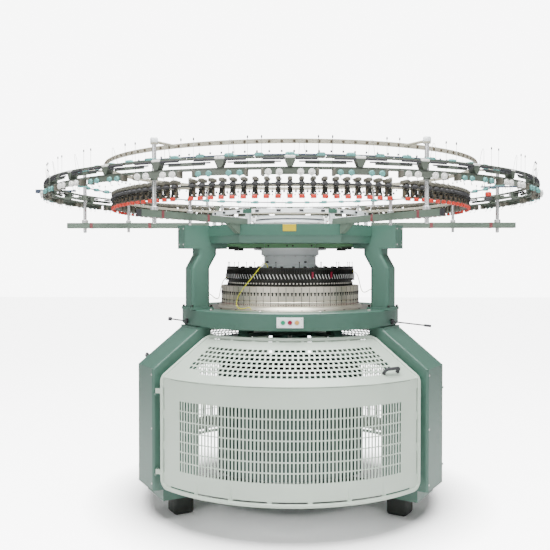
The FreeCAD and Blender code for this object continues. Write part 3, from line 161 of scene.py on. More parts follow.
def turned(name, profile, centre=(0, 0, 0), steps=96, angle=360.0):
    """A closed outline of (radius, height) points spun about an upright line."""
    bpy.ops.object.select_all(action="DESELECT")
    bpy.ops.mesh.primitive_circle_add(vertices=len(profile), fill_type="NOTHING", location=centre)
    piece = named(name)
    for vertex, (radius, height) in zip(piece.data.vertices, profile):
        vertex.co = (radius, 0, height)
    edit(piece)
    if angle < 360:
        bpy.ops.mesh.edge_face_add()
    bpy.ops.mesh.spin(steps=steps, angle=math.radians(angle), center=centre, axis=(0, 0, 1))
    bpy.ops.mesh.select_all(action="SELECT")
    bpy.ops.mesh.remove_doubles(threshold=1e-5)
    bpy.ops.mesh.normals_make_consistent(inside=False)
    leave_edit()
    return settle(piece)


def face_to(piece, azimuth):
    """Carries a piece that is modelled along +X round to an azimuth."""
    piece.rotation_euler = (0, 0, math.radians(azimuth - 90))
    return settle(piece)


def laid(piece, place, turn=(0, 90, 0)):
    """Lays a turned piece on its side, by degrees about x, y and z, and moves it to its place."""
    piece.rotation_euler = [math.radians(degrees) for degrees in turn]
    piece.location = place
    return settle(piece)


def tip_over(piece, axis, degrees, about=(0, 0, 0)):
    """Turns a piece about a line through a point, right-handed."""
    shift = Matrix.Translation(Vector(about))
    turn = Matrix.Rotation(math.radians(degrees), 4, axis)
    piece.matrix_world = shift @ turn @ shift.inverted()
    return settle(piece)


def wire(name, points, radius):
    """A stiff bent wire through points."""
    line = bpy.data.curves.new(name, "CURVE")
    line.dimensions = "3D"
    line.bevel_depth = radius
    line.bevel_resolution = 1
    line.use_fill_caps = True
    spline = line.splines.new("POLY")
    spline.points.add(len(points) - 1)
    for point, place in zip(spline.points, points):
        point.co = (*place, 1)
    piece = bpy.data.objects.new(name, line)
    bpy.context.scene.collection.objects.link(piece)
    only(piece)
    bpy.ops.object.convert(target="MESH")
    return named(name)


def joined(name, pieces):
    only(*pieces)
    if len(pieces) > 1:
        bpy.ops.object.join()
    return named(name)


def ring_of(piece, count, start=0.0, pitch=None):
    """Repeats a piece round the machine's axis from one azimuth on."""
    face_to(piece, start)
    guide = bpy.data.objects.new("guide", None)
    bpy.context.scene.collection.objects.link(guide)
    guide.rotation_euler = (0, 0, math.radians(pitch or 360 / count))
    array = piece.modifiers.new("Array", "ARRAY")
    array.count = count
    array.use_relative_offset = False
    array.use_object_offset = True
    array.offset_object = guide
    bpy.context.view_layer.update()
    bpy.ops.object.modifier_apply(modifier=array.name)
    bpy.data.objects.remove(guide)
    return piece


def each_feeder(piece, shift=0.0):
    """Repeats a piece at every yarn feeder: nineteen between each two arms."""
    ring_of(piece, FEEDERS_PER_SECTOR, ARM_START + FEEDER_PITCH + shift, FEEDER_PITCH)
    return ring_of(piece, ARM_COUNT, 90)


def twin(piece, degrees):
    """A second copy of a piece, both turned half of an angle each way round the machine."""
    return ring_of(piece, 2, 90 - degrees / 2, degrees)


def four_of(piece, near, far):
    """Four copies of a piece: a near pair and a far pair, each that many degrees apart."""
    outer = piece.copy()
    outer.data = piece.data.copy()
    bpy.context.scene.collection.objects.link(outer)
    return joined(piece.name, [twin(piece, near), twin(outer, far)])


def show(piece, finish, body="frame", smooth=35):
    """Gives a finished piece its finish and the body that it moves with."""
    piece.data.materials.clear()
    piece.data.materials.append(bpy.data.materials[finish])
    only(piece)
    bpy.ops.object.shade_smooth_by_angle(angle=math.radians(smooth))
    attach(piece, body)
    return piece


# ---------------------------------------------------------------- finishes

def noise(tree, place, scale, detail=3.0):
    node = tree.nodes.new("ShaderNodeTexNoise")
    node.inputs["Scale"].default_value = scale
    node.inputs["Detail"].default_value = detail
    tree.links.new(place, node.inputs["Vector"])
    return node.outputs["Fac"]


def shades(tree, amount, dark, light):
    """Blends from a dark to a light shade over the middle of a noise."""
    ramp = tree.nodes.new("ShaderNodeValToRGB")
    ramp.color_ramp.elements[0].position = 0.3
    ramp.color_ramp.elements[0].color = (*dark, 1)
    ramp.color_ramp.elements[1].position = 0.7
    ramp.color_ramp.elements[1].color = (*light, 1)
    tree.links.new(amount, ramp.inputs["Fac"])
    return ramp.outputs["Color"]


def spread(tree, amount, least, most):
    span = tree.nodes.new("ShaderNodeMapRange")
    span.inputs["From Min"].default_value = 0.3
    span.inputs["From Max"].default_value = 0.7
    span.inputs["To Min"].default_value = least
    span.inputs["To Max"].default_value = most
    tree.links.new(amount, span.inputs["Value"])
    return span.outputs["Result"]


def relief(tree, amount, strength):
    bump = tree.nodes.new("ShaderNodeBump")
    bump.inputs["Strength"].default_value = strength
    bump.inputs["Distance"].default_value = 0.001
    tree.links.new(amount, bump.inputs["Height"])
    return bump.outputs["Normal"]


def stretched(tree, place, stretch):
    mapping = tree.nodes.new("ShaderNodeMapping")
    mapping.inputs["Scale"].default_value = stretch
    tree.links.new(place, mapping.inputs["Vector"])
    return mapping.outputs["Vector"]


def lathe_marks(tree, place):
    """Coordinates that follow turning marks: distance from the axis and height."""
    parts = tree.nodes.new("ShaderNodeSeparateXYZ")
    tree.links.new(place, parts.inputs["Vector"])
    flat = tree.nodes.new("ShaderNodeCombineXYZ")
    tree.links.new(parts.outputs["X"], flat.inputs["X"])
    tree.links.new(parts.outputs["Y"], flat.inputs["Y"])
    away = tree.nodes.new("ShaderNodeVectorMath")
    away.operation = "LENGTH"
    tree.links.new(flat.outputs["Vector"], away.inputs[0])
    marks = tree.nodes.new("ShaderNodeCombineXYZ")
    tree.links.new(away.outputs["Value"], marks.inputs["X"])
    tree.links.new(parts.outputs["Z"], marks.inputs["Z"])
    return marks.outputs["Vector"]


def finish(name, colour, roughness=0.45, metallic=0.0, contrast=0.12, patch=4.0, grain=300.0,
           bump=0.08, marks=None, **sockets):
    """One surface finish: shade drifts in patches, sheen and relief in a fine grain."""
    material = bpy.data.materials.new(name)
    material.use_nodes = True
    tree = material.node_tree
    shader = tree.nodes["Principled BSDF"]
    shader.inputs["Metallic"].default_value = metallic
    for socket, value in sockets.items():
        shader.inputs[socket.replace("_", " ")].default_value = value
    place = tree.nodes.new("ShaderNodeTexCoord").outputs["Object"]
    fine_place = marks(tree, place) if marks else place
    dark = [channel * (1 - contrast) for channel in colour]
    light = [min(1.0, channel * (1 + contrast)) for channel in colour]
    tree.links.new(shades(tree, noise(tree, place, patch), dark, light), shader.inputs["Base Color"])
    fine = noise(tree, fine_place, grain)
    tree.links.new(spread(tree, fine, roughness * 0.85, roughness * 1.15), shader.inputs["Roughness"])
    tree.links.new(relief(tree, fine, bump), shader.inputs["Normal"])
    return material


def painted(name, colour, roughness=0.4):
    """Two-pack machine enamel with a fine orange peel."""
    return finish(name, colour, roughness, contrast=0.07, patch=2.2, grain=420, bump=0.05,
                  Coat_Weight=0.25, Coat_Roughness=0.22)


def moulded(name, colour, roughness=0.5):
    """Moulded plastic with a spark-eroded grain."""
    return finish(name, colour, roughness, contrast=0.1, patch=18, grain=900, bump=0.1)


def bare_metal(name, colour, roughness=0.32, stretch=(1, 1, 12)):
    """Ground metal, its scratches drawn out along one direction."""
    return finish(name, colour, roughness, metallic=0.9, contrast=0.12, patch=6, grain=160,
                  bump=0.08, marks=lambda tree, place: stretched(tree, place, stretch))


def lathe_metal(name, colour, roughness=0.3):
    """Metal turned on a lathe, with rings that follow its own axis."""
    return finish(name, colour, roughness, metallic=0.85, contrast=0.1, patch=5, grain=520,
                  bump=0.12, marks=lathe_marks)


class MACHINE_OT_finishes(bpy.types.Operator):
    """Every enamel, plastic, rubber and metal of the machine"""

    bl_idname = "machine.finishes"
    bl_label = "Finishes"

    def execute(self, context):
        looks = context.scene.machine_looks
        painted("green_enamel", looks.green)
        painted("guard_enamel", looks.guard, 0.45)
        painted("arm_enamel", looks.arm, 0.5)
        painted("plate_green", looks.plate_green, 0.35)
        painted("white_enamel", looks.white, 0.35)
        painted("yellow_enamel", (0.44, 0.33, 0.002), 0.4)
        # A very dark green for the sheets that paint shade inside the guard.
        painted("painted_shade_green", (0.014, 0.040, 0.030), 0.5)
        painted("band_red", (0.16, 0.035, 0.04), 0.5)
        painted("ring_blue", (0.006, 0.020, 0.048), 0.35)
        painted("boat_enamel", (0.072, 0.088, 0.068), 0.5)
        painted("motor_grey", (0.16, 0.17, 0.17), 0.5)
        moulded("black_plastic", (0.012, 0.012, 0.013), 0.4)
        moulded("black_foot", (0.012, 0.017, 0.013), 0.6)
        moulded("grey_plastic", (0.10, 0.095, 0.075), 0.5)
        moulded("brown_bracket", (0.075, 0.058, 0.036), 0.5)
        moulded("pale_plastic", (0.40, 0.44, 0.39), 0.45)
        moulded("teal_plastic", (0.008, 0.062, 0.062), 0.4)
        moulded("red_plastic", (0.55, 0.035, 0.02), 0.4)
        moulded("belt_rubber", (0.01, 0.01, 0.011), 0.65)
        moulded("black_rubber", (0.020, 0.022, 0.021), 0.6)
        moulded("start_green", (0.01, 0.23, 0.12), 0.3)
        moulded("stop_red", (0.22, 0.006, 0.03), 0.3)
        moulded("inch_yellow", (0.55, 0.30, 0.08), 0.3)
        moulded("eyelet_ceramic", (0.70, 0.69, 0.64), 0.18)
        moulded("rail_beige", looks.rail, 0.45)
        bare_metal("bright_steel", (0.58, 0.57, 0.55))
        bare_metal("cast_steel", (0.23, 0.235, 0.225), 0.5)
        bare_metal("pole_chrome", (0.80, 0.80, 0.81), 0.25)
        bare_metal("aluminium", (0.72, 0.73, 0.72), 0.35, (14, 14, 1))
        lathe_metal("bed_steel", (0.27, 0.25, 0.21), 0.32)
        finish("cam_steel", looks.cam, 0.45, metallic=0.35, contrast=0.14, patch=9, grain=240,
               bump=0.1, marks=lambda tree, place: stretched(tree, place, (1, 1, 9)))
        finish("black_oxide", (0.022, 0.023, 0.02), 0.38, metallic=0.6, contrast=0.2, patch=14,
               grain=380, bump=0.1)
        finish("hose_yellow", looks.hose, 0.3, contrast=0.08, patch=30, grain=700, bump=0.04,
               Transmission_Weight=0.15)
        return {"FINISHED"}


NODE_FINISH = {
    "green_enamel": (
        "leg_covers", "leg_posts", "base_spider", "bed_ring", "columns", "crown", "hinge_brackets",
        "takedown_frame"),
    "guard_enamel": tuple(f"guard_{part}_{door}" for part in ("frame", "sheets") for door in DOORS),
    "arm_enamel": ("arms",),
    "plate_green": ("crown_bridge",),
    "white_enamel": ("dial_housing", "support_ring", "centre_stack", "button_panel"),
    "black_foot": ("feet",),
    "bed_steel": ("bed_plate",),
    "cam_steel": ("cam_plates", "cam_ring"),
    "black_oxide": ("feeder_ring", "dial"),
    "cast_steel": (
        "cylinder_gear", "needle_cylinder", "dial_gear", "crown_cover",
        "drive_shaft", "motor_pulley"),
    "black_rubber": ("nip_roller_front", "nip_roller_rear", "cloth_roller"),
    "motor_grey": ("motor",),
    "belt_rubber": ("drive_belt", "feeder_belt"),
    "pole_chrome": ("poles",),
    "rail_beige": ("eyelet_ring", "feeder_rail"),
    "ring_blue": ("clamp_ring", "outriggers"),
    "teal_plastic": ("ring_clamps",),
    "boat_enamel": ("stop_rail", "stop_boats", "stop_bars"),
    "grey_plastic": ("yarn_feeders",),
    "black_plastic": (
        "feeder_wheels", "right_lever", "left_lever",
        *(f"guard_handle_{door}" for door in DOORS)),
    "start_green": ("start_button",),
    "stop_red": ("stop_button",),
    "inch_yellow": ("inch_button",),
    "hose_yellow": ("left_hose", "right_hose", "centre_hose"),
}


class MACHINE_OT_node_finishes(bpy.types.Operator):
    """Gives every carried-over part of the frame its finish"""

    bl_idname = "machine.node_finishes"
    bl_label = "Finish frame"

    def execute(self, context):
        for name, nodes in NODE_FINISH.items():
            for node in nodes:
                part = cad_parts[node]
                part.data.materials.clear()
                part.data.materials.append(bpy.data.materials[name])
        return {"FINISHED"}


# ---------------------------------------------------------------- hoses

HOSE_RADIUS = 0.003
HOSES = {
    "left_hose": (0.357, [
        (-0.5776, -0.3335, 1.488), (-0.552, -0.318, 1.478), (-0.528, -0.296, 1.452),
        (-0.508, -0.262, 1.440), (-0.500, -0.215, 1.452), (-0.498, -0.172, 1.490),
        (-0.490, -0.145, 1.535), (-0.474, -0.133, 1.580), (-0.4412, -0.1242, 1.600)]),
    "right_hose": (0.341, [
        (0.5776, -0.3335, 1.521), (0.553, -0.318, 1.512), (0.530, -0.290, 1.492),
        (0.512, -0.252, 1.488), (0.503, -0.212, 1.504), (0.497, -0.176, 1.540),
        (0.490, -0.152, 1.580), (0.478, -0.135, 1.622), (0.4412, -0.1242, 1.640)]),
    "centre_hose": (0.568, [
        (-0.150, -0.428, 1.661), (-0.155, -0.440, 1.684), (-0.171, -0.466, 1.694),
        (-0.196, -0.490, 1.672), (-0.225, -0.498, 1.632), (-0.258, -0.492, 1.590),
        (-0.292, -0.476, 1.550), (-0.325, -0.455, 1.508), (-0.350, -0.436, 1.468),
        (-0.364, -0.428, 1.430), (-0.361, -0.436, 1.400), (-0.343, -0.452, 1.386),
        (-0.317, -0.470, 1.385), (-0.291, -0.485, 1.391), (-0.270, -0.496, 1.400),
        (-0.258, -0.502, 1.379)]),
}


class MACHINE_OT_hoses(bpy.types.Operator):
    """The thin yellow air hoses, as cords along their routes"""

    bl_idname = "machine.hoses"
    bl_label = "Hoses"

    def execute(self, context):
        for node, (length, route) in HOSES.items():
            line = bpy.data.curves.new(f"{node}_line", "CURVE")
            line.dimensions = "3D"
            line.bevel_depth = HOSE_RADIUS
            line.bevel_resolution = 4
            line.use_fill_caps = True
            spline = line.splines.new("NURBS")
            spline.points.add(len(route) - 1)
            for point, place in zip(spline.points, route):
                point.co = (*place, 1)
            spline.order_u = 3
            spline.use_endpoint_u = True
            spline.resolution_u = 10
            hose = bpy.data.objects.new(f"{node}_line", line)
            bpy.context.scene.collection.objects.link(hose)
            line.materials.append(bpy.data.materials["hose_yellow"])
            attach(hose, "frame")
            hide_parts(node)
        return {"FINISHED"}


# ---------------------------------------------------------------- legs, guards and bed

class MACHINE_OT_feet(bpy.types.Operator):
    """Cast foot blocks with rounded edges"""

    bl_idname = "machine.feet"
    bl_label = "Feet"

    def execute(self, context):
        sizes = context.scene.machine_sizes
        half, top = sizes.foot_side / 2, high("feet").z
        foot = block("foot_blocks", (LEG_PLACE - half, -half, 0), (LEG_PLACE + half, half, top),
                     sizes.foot_round, 3)
        feet = show(ring_of(foot, LEG_COUNT, LEG_START), "black_foot")
        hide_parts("feet")
        return {"FINISHED"}


class MACHINE_OT_leg_trim(bpy.types.Operator):
    """Cover screws, the latch knob beside each door and the hem under each cover"""

    bl_idname = "machine.leg_trim"
    bl_label = "Leg trim"

    def execute(self, context):
        face = 1.110
        screws = [
            drum("leg_screw", (face, side * 0.128, height), 0.0075, 0.005, "X", 10, 0.0015)
            for side in (-1, 1) for height in (0.26, 0.62, 0.97)]
        screw_ring = ring_of(joined("leg_screws", screws), LEG_COUNT, LEG_START)
        show(screw_ring, "bright_steel")
        latch_out, latch_up = 1.05, 0.805
        knob = joined("latch_knobs", [
            drum("latch_head", (latch_out, -0.165, latch_up), 0.0125, 0.016, "Y", 12, 0.003),
            drum("latch_stem", (latch_out, -0.154, latch_up), 0.006, 0.010, "Y", 8, 0.001)])
        show(ring_of(knob, LEG_COUNT, LEG_START), "black_plastic")
        hem = block("leg_hems", (face - 0.001, -0.146, 0.2155), (face + 0.0012, 0.146, 0.2175), 0.0004)
        show(ring_of(hem, LEG_COUNT, LEG_START), "black_foot")
        return {"FINISHED"}


class MACHINE_OT_guard_trim(bpy.types.Operator):
    """A thin dark band painted as shade in the fold of each door's sheet, and the door's rubber buffers
    """

    bl_idname = "machine.guard_trim"
    bl_label = "Guard trim"

    def execute(self, context):
        bend, radius, half = 0.957, 1.0856, 44.0
        for door, azimuth in DOORS.items():
            # The dark band at the bend is painted shade: it stands for the shade in the fold between the
            # upper and lower sheets.
            crease_shade = turned(
                f"guard_crease_shade_{door}",
                [(radius, bend - 0.0016), (radius + 0.0016, bend - 0.0006),
                 (radius + 0.0016, bend + 0.0006), (radius, bend + 0.0016)],
                steps=48, angle=2 * half)
            face_to(crease_shade, azimuth + half)
            show(crease_shade, "black_oxide", f"guard_{door}")
            buffers = []
            for side in (-1, 1):
                for height in (0.30, 0.93):
                    buffer = drum("buffer", (1.028, side * 0.30, height), 0.010, 0.014, "X", 12, 0.002)
                    buffers.append(tip_over(buffer, "Z", side * 28))
            rubber = face_to(joined(f"guard_buffers_{door}", buffers), azimuth)
            show(rubber, "black_plastic", f"guard_{door}")
        return {"FINISHED"}


class MACHINE_OT_bed_trim(bpy.types.Operator):
    """Countersunk screws round the polished bed plate and socket screws on the bed ring"""

    bl_idname = "machine.bed_trim"
    bl_label = "Bed trim"

    def execute(self, context):
        top = high("bed_plate").z
        screw = drum("bed_screws", (0.598, 0, top + 0.001), 0.007, 0.004, "Z", 12, 0.001)
        step_faces(screw, (0, 0, 1), 0.003, -0.002)
        show(ring_of(screw, 24, 7.5), "black_oxide")
        bed_top = high("bed_ring").z
        cap = drum("rim_screws", (0.742, 0, bed_top + 0.004), 0.010, 0.010, "Z", 12, 0.0015)
        step_faces(cap, (0, 0, 1), 0.005, -0.004)
        show(ring_of(cap, 12, 15), "bright_steel")
        return {"FINISHED"}


BUTTONS = {
    "start": ("start_green", "green_button"),
    "stop": ("stop_red", "red_button"),
    "inch": ("inch_yellow", "yellow_button"),
}


class MACHINE_OT_buttons(bpy.types.Operator):
    """Domed caps on the three push buttons, and the collars they travel in"""

    bl_idname = "machine.buttons"
    bl_label = "Buttons"

    def execute(self, context):
        panel_low, panel_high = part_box("button_panel")
        for button, (colour, slot) in BUTTONS.items():
            start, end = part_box(f"{button}_button")
            middle = (start + end) / 2
            radius = (end.x - start.x) / 2
            deep = end.y - start.y
            cap = turned(f"{button}_button_cap", [
                (0.0, deep), (radius, deep), (radius, deep * 0.30), (radius * 0.88, deep * 0.12),
                (radius * 0.55, deep * 0.03), (0.0, 0.0)], steps=32)
            laid(cap, (middle.x, start.y, middle.z), (-90, 0, 0))
            show(cap, colour, f"{button}_button")
            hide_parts(f"{button}_button")
            collar = turned(f"{button}_button_collar", [
                (radius + 0.0006, 0.0), (radius + 0.0040, 0.0), (radius + 0.0034, 0.0022),
                (radius + 0.0012, 0.0026)], steps=32)
            laid(collar, (middle.x, panel_low.y + 0.0004, middle.z), (90, 0, 0))
            show(collar, "bright_steel")
        edge = 0.010
        screws = [
            drum("panel_screw", (x, panel_low.y - 0.0008, z), 0.0035, 0.003, "Y", 10, 0.0008)
            for x in (panel_low.x + edge, panel_high.x - edge)
            for z in (panel_low.z + edge, panel_high.z - edge)]
        show(joined("panel_screws", screws), "bright_steel")
        return {"FINISHED"}


# ---------------------------------------------------------------- knitting head

class MACHINE_OT_cam_trim(bpy.types.Operator):
    """Cam lock heads, dark, that also paint shade in their holes, a dark ring at their height painted as
    the shade of a groove, dark strips painted as shade in the seams, and the studs at the foot
    """

    bl_idname = "machine.cam_trim"
    bl_label = "Cam trim"

    def execute(self, context):
        radius = high("cam_plates").x
        foot, top = low("cam_plates").z, high("cam_plates").z
        height, lock_side = 1.487, 0.01315
        # The dark lock heads are cam lock screws and also paint the shade inside each hole.
        pair = [
            joined("cam_lock", [
                drum("lock_head", (radius - 0.002, y, height + 0.001), 0.0072, 0.008, "X", 10, 0.001),
                block("lock_key", (radius - 0.001, y - 0.0048, height - 0.0165),
                      (radius + 0.0012, y + 0.0048, height - 0.003), 0.0012)])
            for y in (-lock_side, lock_side)]
        show(ring_of(joined("cam_locks_and_hole_shade", pair), 60), "black_oxide")
        # A dark ring through the holes' height: painted shade standing for the groove there.
        line = turned("cam_groove_shade_ring", [
            (radius - 0.0006, height + 0.0045), (radius + 0.0010, height + 0.0040),
            (radius + 0.0010, height + 0.0026), (radius - 0.0006, height + 0.0020)], steps=180)
        show(line, "black_oxide")
        stud = drum("cam_studs", (radius - 0.0008, 0, foot + 0.010), 0.0030, 0.006, "X", 8, 0.0006)
        show(ring_of(stud, 180, 1), "band_red")
        # Dark strips in the gaps between the plates: painted shade in the seams.
        seam_shade = block("cam_seam_shade", (radius - 0.0060, -0.0016, foot),
                     (radius + 0.0004, 0.0016, top - 0.004), 0.0003)
        show(ring_of(seam_shade, 60, 3), "black_oxide")
        return {"FINISHED"}


class MACHINE_OT_feeder_ring_trim(bpy.types.Operator):
    """Upright slats, slanting yarn guides, ceramic eyes and pins of the feeder ring"""

    bl_idname = "machine.feeder_ring_trim"
    bl_label = "Feeder ring trim"

    def execute(self, context):
        sizes = context.scene.machine_sizes
        lip, rim = 1.580, 1.647
        slat = block("feeder_slats", (0.4565, -0.0022, lip), (0.4665, 0.0022, rim), 0.0006)
        show(ring_of(slat, sizes.slats), "black_oxide")
        guide = block("yarn_guides", (0.4660, -0.0026, 1.583), (0.4720, 0.0026, 1.618), 0.0008)
        tip_over(guide, "X", 24, (0.468, 0, 1.600))
        show(ring_of(guide, sizes.guides, 1.5), "aluminium")
        eye = drum("feeder_eyes", (0.4545, 0, 1.553), 0.0058, 0.010, "X", 8, 0.0012)
        step_faces(eye, (1, 0, 0), 0.0022, -0.004)
        show(ring_of(eye, sizes.guides), "eyelet_ceramic")
        foot = block("guide_feet", (0.4515, -0.0040, 1.536), (0.4595, 0.0040, 1.545), 0.001)
        show(ring_of(foot, sizes.guides, 1.5), "black_oxide")
        nut = drum("ring_nuts", (0.4690, 0, 1.575), 0.0062, 0.006, "X", 6, 0.0008)
        show(ring_of(nut, 60), "black_oxide")
        top, pin_out = high("feeder_ring").z, 0.455
        pin = rod("ring_pins", (pin_out, 0, top - 0.004), (pin_out, 0, top + 0.036), 0.0022)
        knob = drum("pin_head", (pin_out, 0, top + 0.037), 0.0038, 0.007, "Z", 8, 0.001)
        show(ring_of(joined("ring_pins", [pin, knob]), sizes.pins, 8), "black_oxide")
        clamp = block("ring_clamps_top", (0.440, -0.009, top - 0.001), (0.462, 0.009, top + 0.009), 0.002)
        show(ring_of(clamp, 36, 3), "black_oxide")
        for place, azimuth in enumerate((19.0, 37.0)):
            holder = block(f"marked_guide_{place}", (0.4640, -0.006, 1.590),
                           (0.4745, 0.006, 1.632), 0.002)
            show(ring_of(holder, 1, azimuth), "stop_red")
        return {"FINISHED"}


class MACHINE_OT_housing_trim(bpy.types.Operator):
    """Cap screws, oil fittings and the rib round the dial housing"""

    bl_idname = "machine.housing_trim"
    bl_label = "Housing trim"

    def execute(self, context):
        flange, fitting_up = high("dial_housing").z, 1.700
        screw = drum("housing_screws", (0.2005, 0, 1.7415), 0.006, 0.004, "Z", 6, 0.0008)
        show(ring_of(screw, 16, 11), "bright_steel")
        rib = turned("housing_rib", [
            (0.189, 1.664), (0.1955, 1.664), (0.1965, 1.668), (0.1925, 1.676), (0.189, 1.678)], steps=128)
        show(rib, "white_enamel")
        fitting = joined("oil_fittings", [
            drum("fitting_body", (0.1955, 0, fitting_up), 0.0075, 0.012, "X", 6, 0.001),
            drum("fitting_nose", (0.2045, 0, fitting_up), 0.0045, 0.010, "X", 8, 0.001)])
        show(ring_of(fitting, 4, 34), "black_oxide")
        skirt = drum("skirt_screws", (0.385, 0, 1.6615), 0.006, 0.005, "Z", 6, 0.001)
        show(ring_of(skirt, 18, 4), "black_oxide")
        collar_screw = drum("collar_screws", (0.252, 0, flange + 0.0012), 0.0055, 0.004, "Z", 8, 0.0008)
        show(ring_of(collar_screw, 12, 45), "bright_steel")
        return {"FINISHED"}


# ---------------------------------------------------------------- crown and arms

class MACHINE_OT_crown_trim(bpy.types.Operator):
    """The blank yellow plate, brackets at the cross bars, bolts and side covers of the crown"""

    bl_idname = "machine.crown_trim"
    bl_label = "Crown trim"

    def execute(self, context):
        face = -0.5889
        top = high("crown").z
        plate = block("yellow_plate", (-0.047, face - 0.0022, top - 0.046),
                      (0.040, face + 0.001, top - 0.001), 0.0008)
        step_faces(plate, (0, -1, 0), 0.003, -0.0005)
        show(plate, "yellow_enamel")
        bar_low, bar_top = low("crown_bridge").z, high("crown_bridge").z
        brackets = []
        for side in (-1, 1):
            for bar in (-0.268, 0.268):
                brackets.append(block("bar_bracket", (side * 0.36, bar - 0.030, bar_low - 0.012),
                                      (side * 0.43, bar + 0.030, bar_low + 0.004), 0.002))
                brackets.append(block("bar_clamp", (side * 0.20, bar - 0.024, bar_low - 0.006),
                                      (side * 0.24, bar + 0.024, bar_low + 0.004), 0.002))
        show(joined("bar_brackets", brackets), "black_oxide")
        heads = [
            drum("bridge_bolt", (x, -0.301, (bar_low + bar_top) / 2), 0.0065, 0.006, "Y", 6, 0.001)
            for x in (-0.15, -0.02, 0.02, 0.15)]
        show(joined("bridge_bolts", heads), "black_oxide")
        cover = block("block_covers", (0.8475, -0.052, 1.806), (0.8525, 0.052, 1.936), 0.0015)
        step_faces(cover, (1, 0, 0), 0.008, -0.0012)
        show(ring_of(cover, LEG_COUNT, LEG_START), "green_enamel")
        bolts = [
            drum("block_bolt", (0.8535, y, z), 0.0055, 0.004, "X", 6, 0.0008)
            for y in (-0.042, 0.042) for z in (1.818, 1.924)]
        show(ring_of(joined("block_bolts", bolts), LEG_COUNT, LEG_START), "bright_steel")
        cap = drum("cover_screws", (0.555, 0, high("crown_cover").z + 0.003), 0.008, 0.008, "Z", 6, 0.001)
        show(ring_of(cap, 24, 5), "bright_steel")
        return {"FINISHED"}


class MACHINE_OT_column_trim(bpy.types.Operator):
    """Washers and nuts at each column's foot and the hose unions on two of them"""

    bl_idname = "machine.column_trim"
    bl_label = "Column trim"

    def execute(self, context):
        foot, middle, bolt_side, inner_face = 1.394, 0.734, 0.072, 0.6675
        nuts = [
            joined("column_nut", [
                drum("washer", (x, y, foot + 0.0015), 0.011, 0.003, "Z", 14, 0.0005),
                drum("nut", (x, y, foot + 0.0085), 0.0085, 0.012, "Z", 6, 0.001)])
            for x in (middle - bolt_side, middle + bolt_side) for y in (-bolt_side, bolt_side)]
        show(ring_of(joined("column_nuts", nuts), LEG_COUNT, LEG_START), "black_oxide")
        union = drum("hose_unions", (inner_face, 0, 1.488), 0.0075, 0.014, "X", 6, 0.001)
        show(ring_of(union, 1, -LEG_START), "bright_steel")
        other = drum("hose_union_right", (inner_face, 0, 1.521), 0.0075, 0.014, "X", 6, 0.001)
        show(ring_of(other, 1, LEG_START), "bright_steel")
        return {"FINISHED"}


class MACHINE_OT_arm_trim(bpy.types.Operator):
    """Tape bands, end plugs, pole collars, caps and feet on the six arms"""

    bl_idname = "machine.arm_trim"
    bl_label = "Arm trim"

    def execute(self, context):
        under, over, half, grow = 1.948, 1.988, 0.02, 0.0012
        for place, radius in enumerate((1.030, 1.462)):
            band = block(f"arm_bands_{place}", (radius - 0.011, -half - grow, under - grow),
                         (radius + 0.011, half + grow, over + grow), 0.0008)
            show(ring_of(band, ARM_COUNT, ARM_START), "band_red")
        plug = block("arm_plugs", (1.636, grow - half, under + grow),
                     (1.6430, half - grow, over - grow), 0.0015)
        show(ring_of(plug, ARM_COUNT, ARM_START), "black_plastic")
        thin = turned("thin_collars", [
            (0.0101, 0), (0.0175, 0), (0.0185, 0.002), (0.0185, 0.016), (0.0165, 0.018), (0.0101, 0.018)],
            centre=(THIN_POLE, 0, over), steps=20)
        show(ring_of(thin, ARM_COUNT, ARM_START), "aluminium")
        thick = turned("thick_collars", [
            (0.0126, 0), (0.021, 0), (0.0225, 0.002), (0.0225, 0.020), (0.0205, 0.022), (0.0126, 0.022)],
            centre=(THICK_POLE, 0, over), steps=20)
        show(ring_of(thick, ARM_COUNT, ARM_START), "aluminium")
        top = high("poles").z
        cap = turned("pole_caps", [
            (0.0, -0.028), (0.0205, -0.028), (0.022, -0.025), (0.022, -0.003), (0.0185, 0.002),
            (0.0, 0.003)], centre=(THICK_POLE, 0, top), steps=20)
        show(ring_of(cap, ARM_COUNT, ARM_START), "white_enamel")
        foot = turned("pole_feet", [
            (0.0, -0.034), (0.009, -0.034), (0.010, -0.030), (0.010, -0.002), (0.0, 0.0)],
            centre=(THICK_POLE, 0, under), steps=16)
        show(ring_of(foot, ARM_COUNT, ARM_START), "white_enamel")
        return {"FINISHED"}


class MACHINE_OT_support_trim(bpy.types.Operator):
    """Clips, joint plates and the rod of the pale ring on the crown, and the seal inside it"""

    bl_idname = "machine.support_trim"
    bl_label = "Support trim"

    def execute(self, context):
        edge = high("support_ring")
        clip = block("support_clips", (edge.x - 0.004, -0.014, edge.z - 0.020),
                     (edge.x + 0.006, 0.014, edge.z - 0.006), 0.002)
        show(ring_of(clip, 24, 7.5), "black_plastic")
        joint = block("support_joints", (edge.x - 0.003, -0.034, edge.z - 0.027),
                      (edge.x + 0.005, 0.034, edge.z + 0.002), 0.002)
        show(ring_of(joint, ARM_COUNT, ARM_START), "green_enamel")
        top = high("centre_stack").z
        seal = turned("stack_seal", [
            (0.2494, top - 0.026), (0.2515, top - 0.0255), (0.2515, top - 0.0205),
            (0.2494, top - 0.020)], steps=128)
        show(seal, "black_plastic")
        rod_ring = turned("support_rod", [
            (0.5340, 2.0045), (0.5370, 2.0030), (0.5400, 2.0045), (0.5400, 2.0075), (0.5370, 2.0090),
            (0.5340, 2.0075)], steps=128)
        show(rod_ring, "white_enamel")
        return {"FINISHED"}


# ---------------------------------------------------------------- rings that carry the yarn

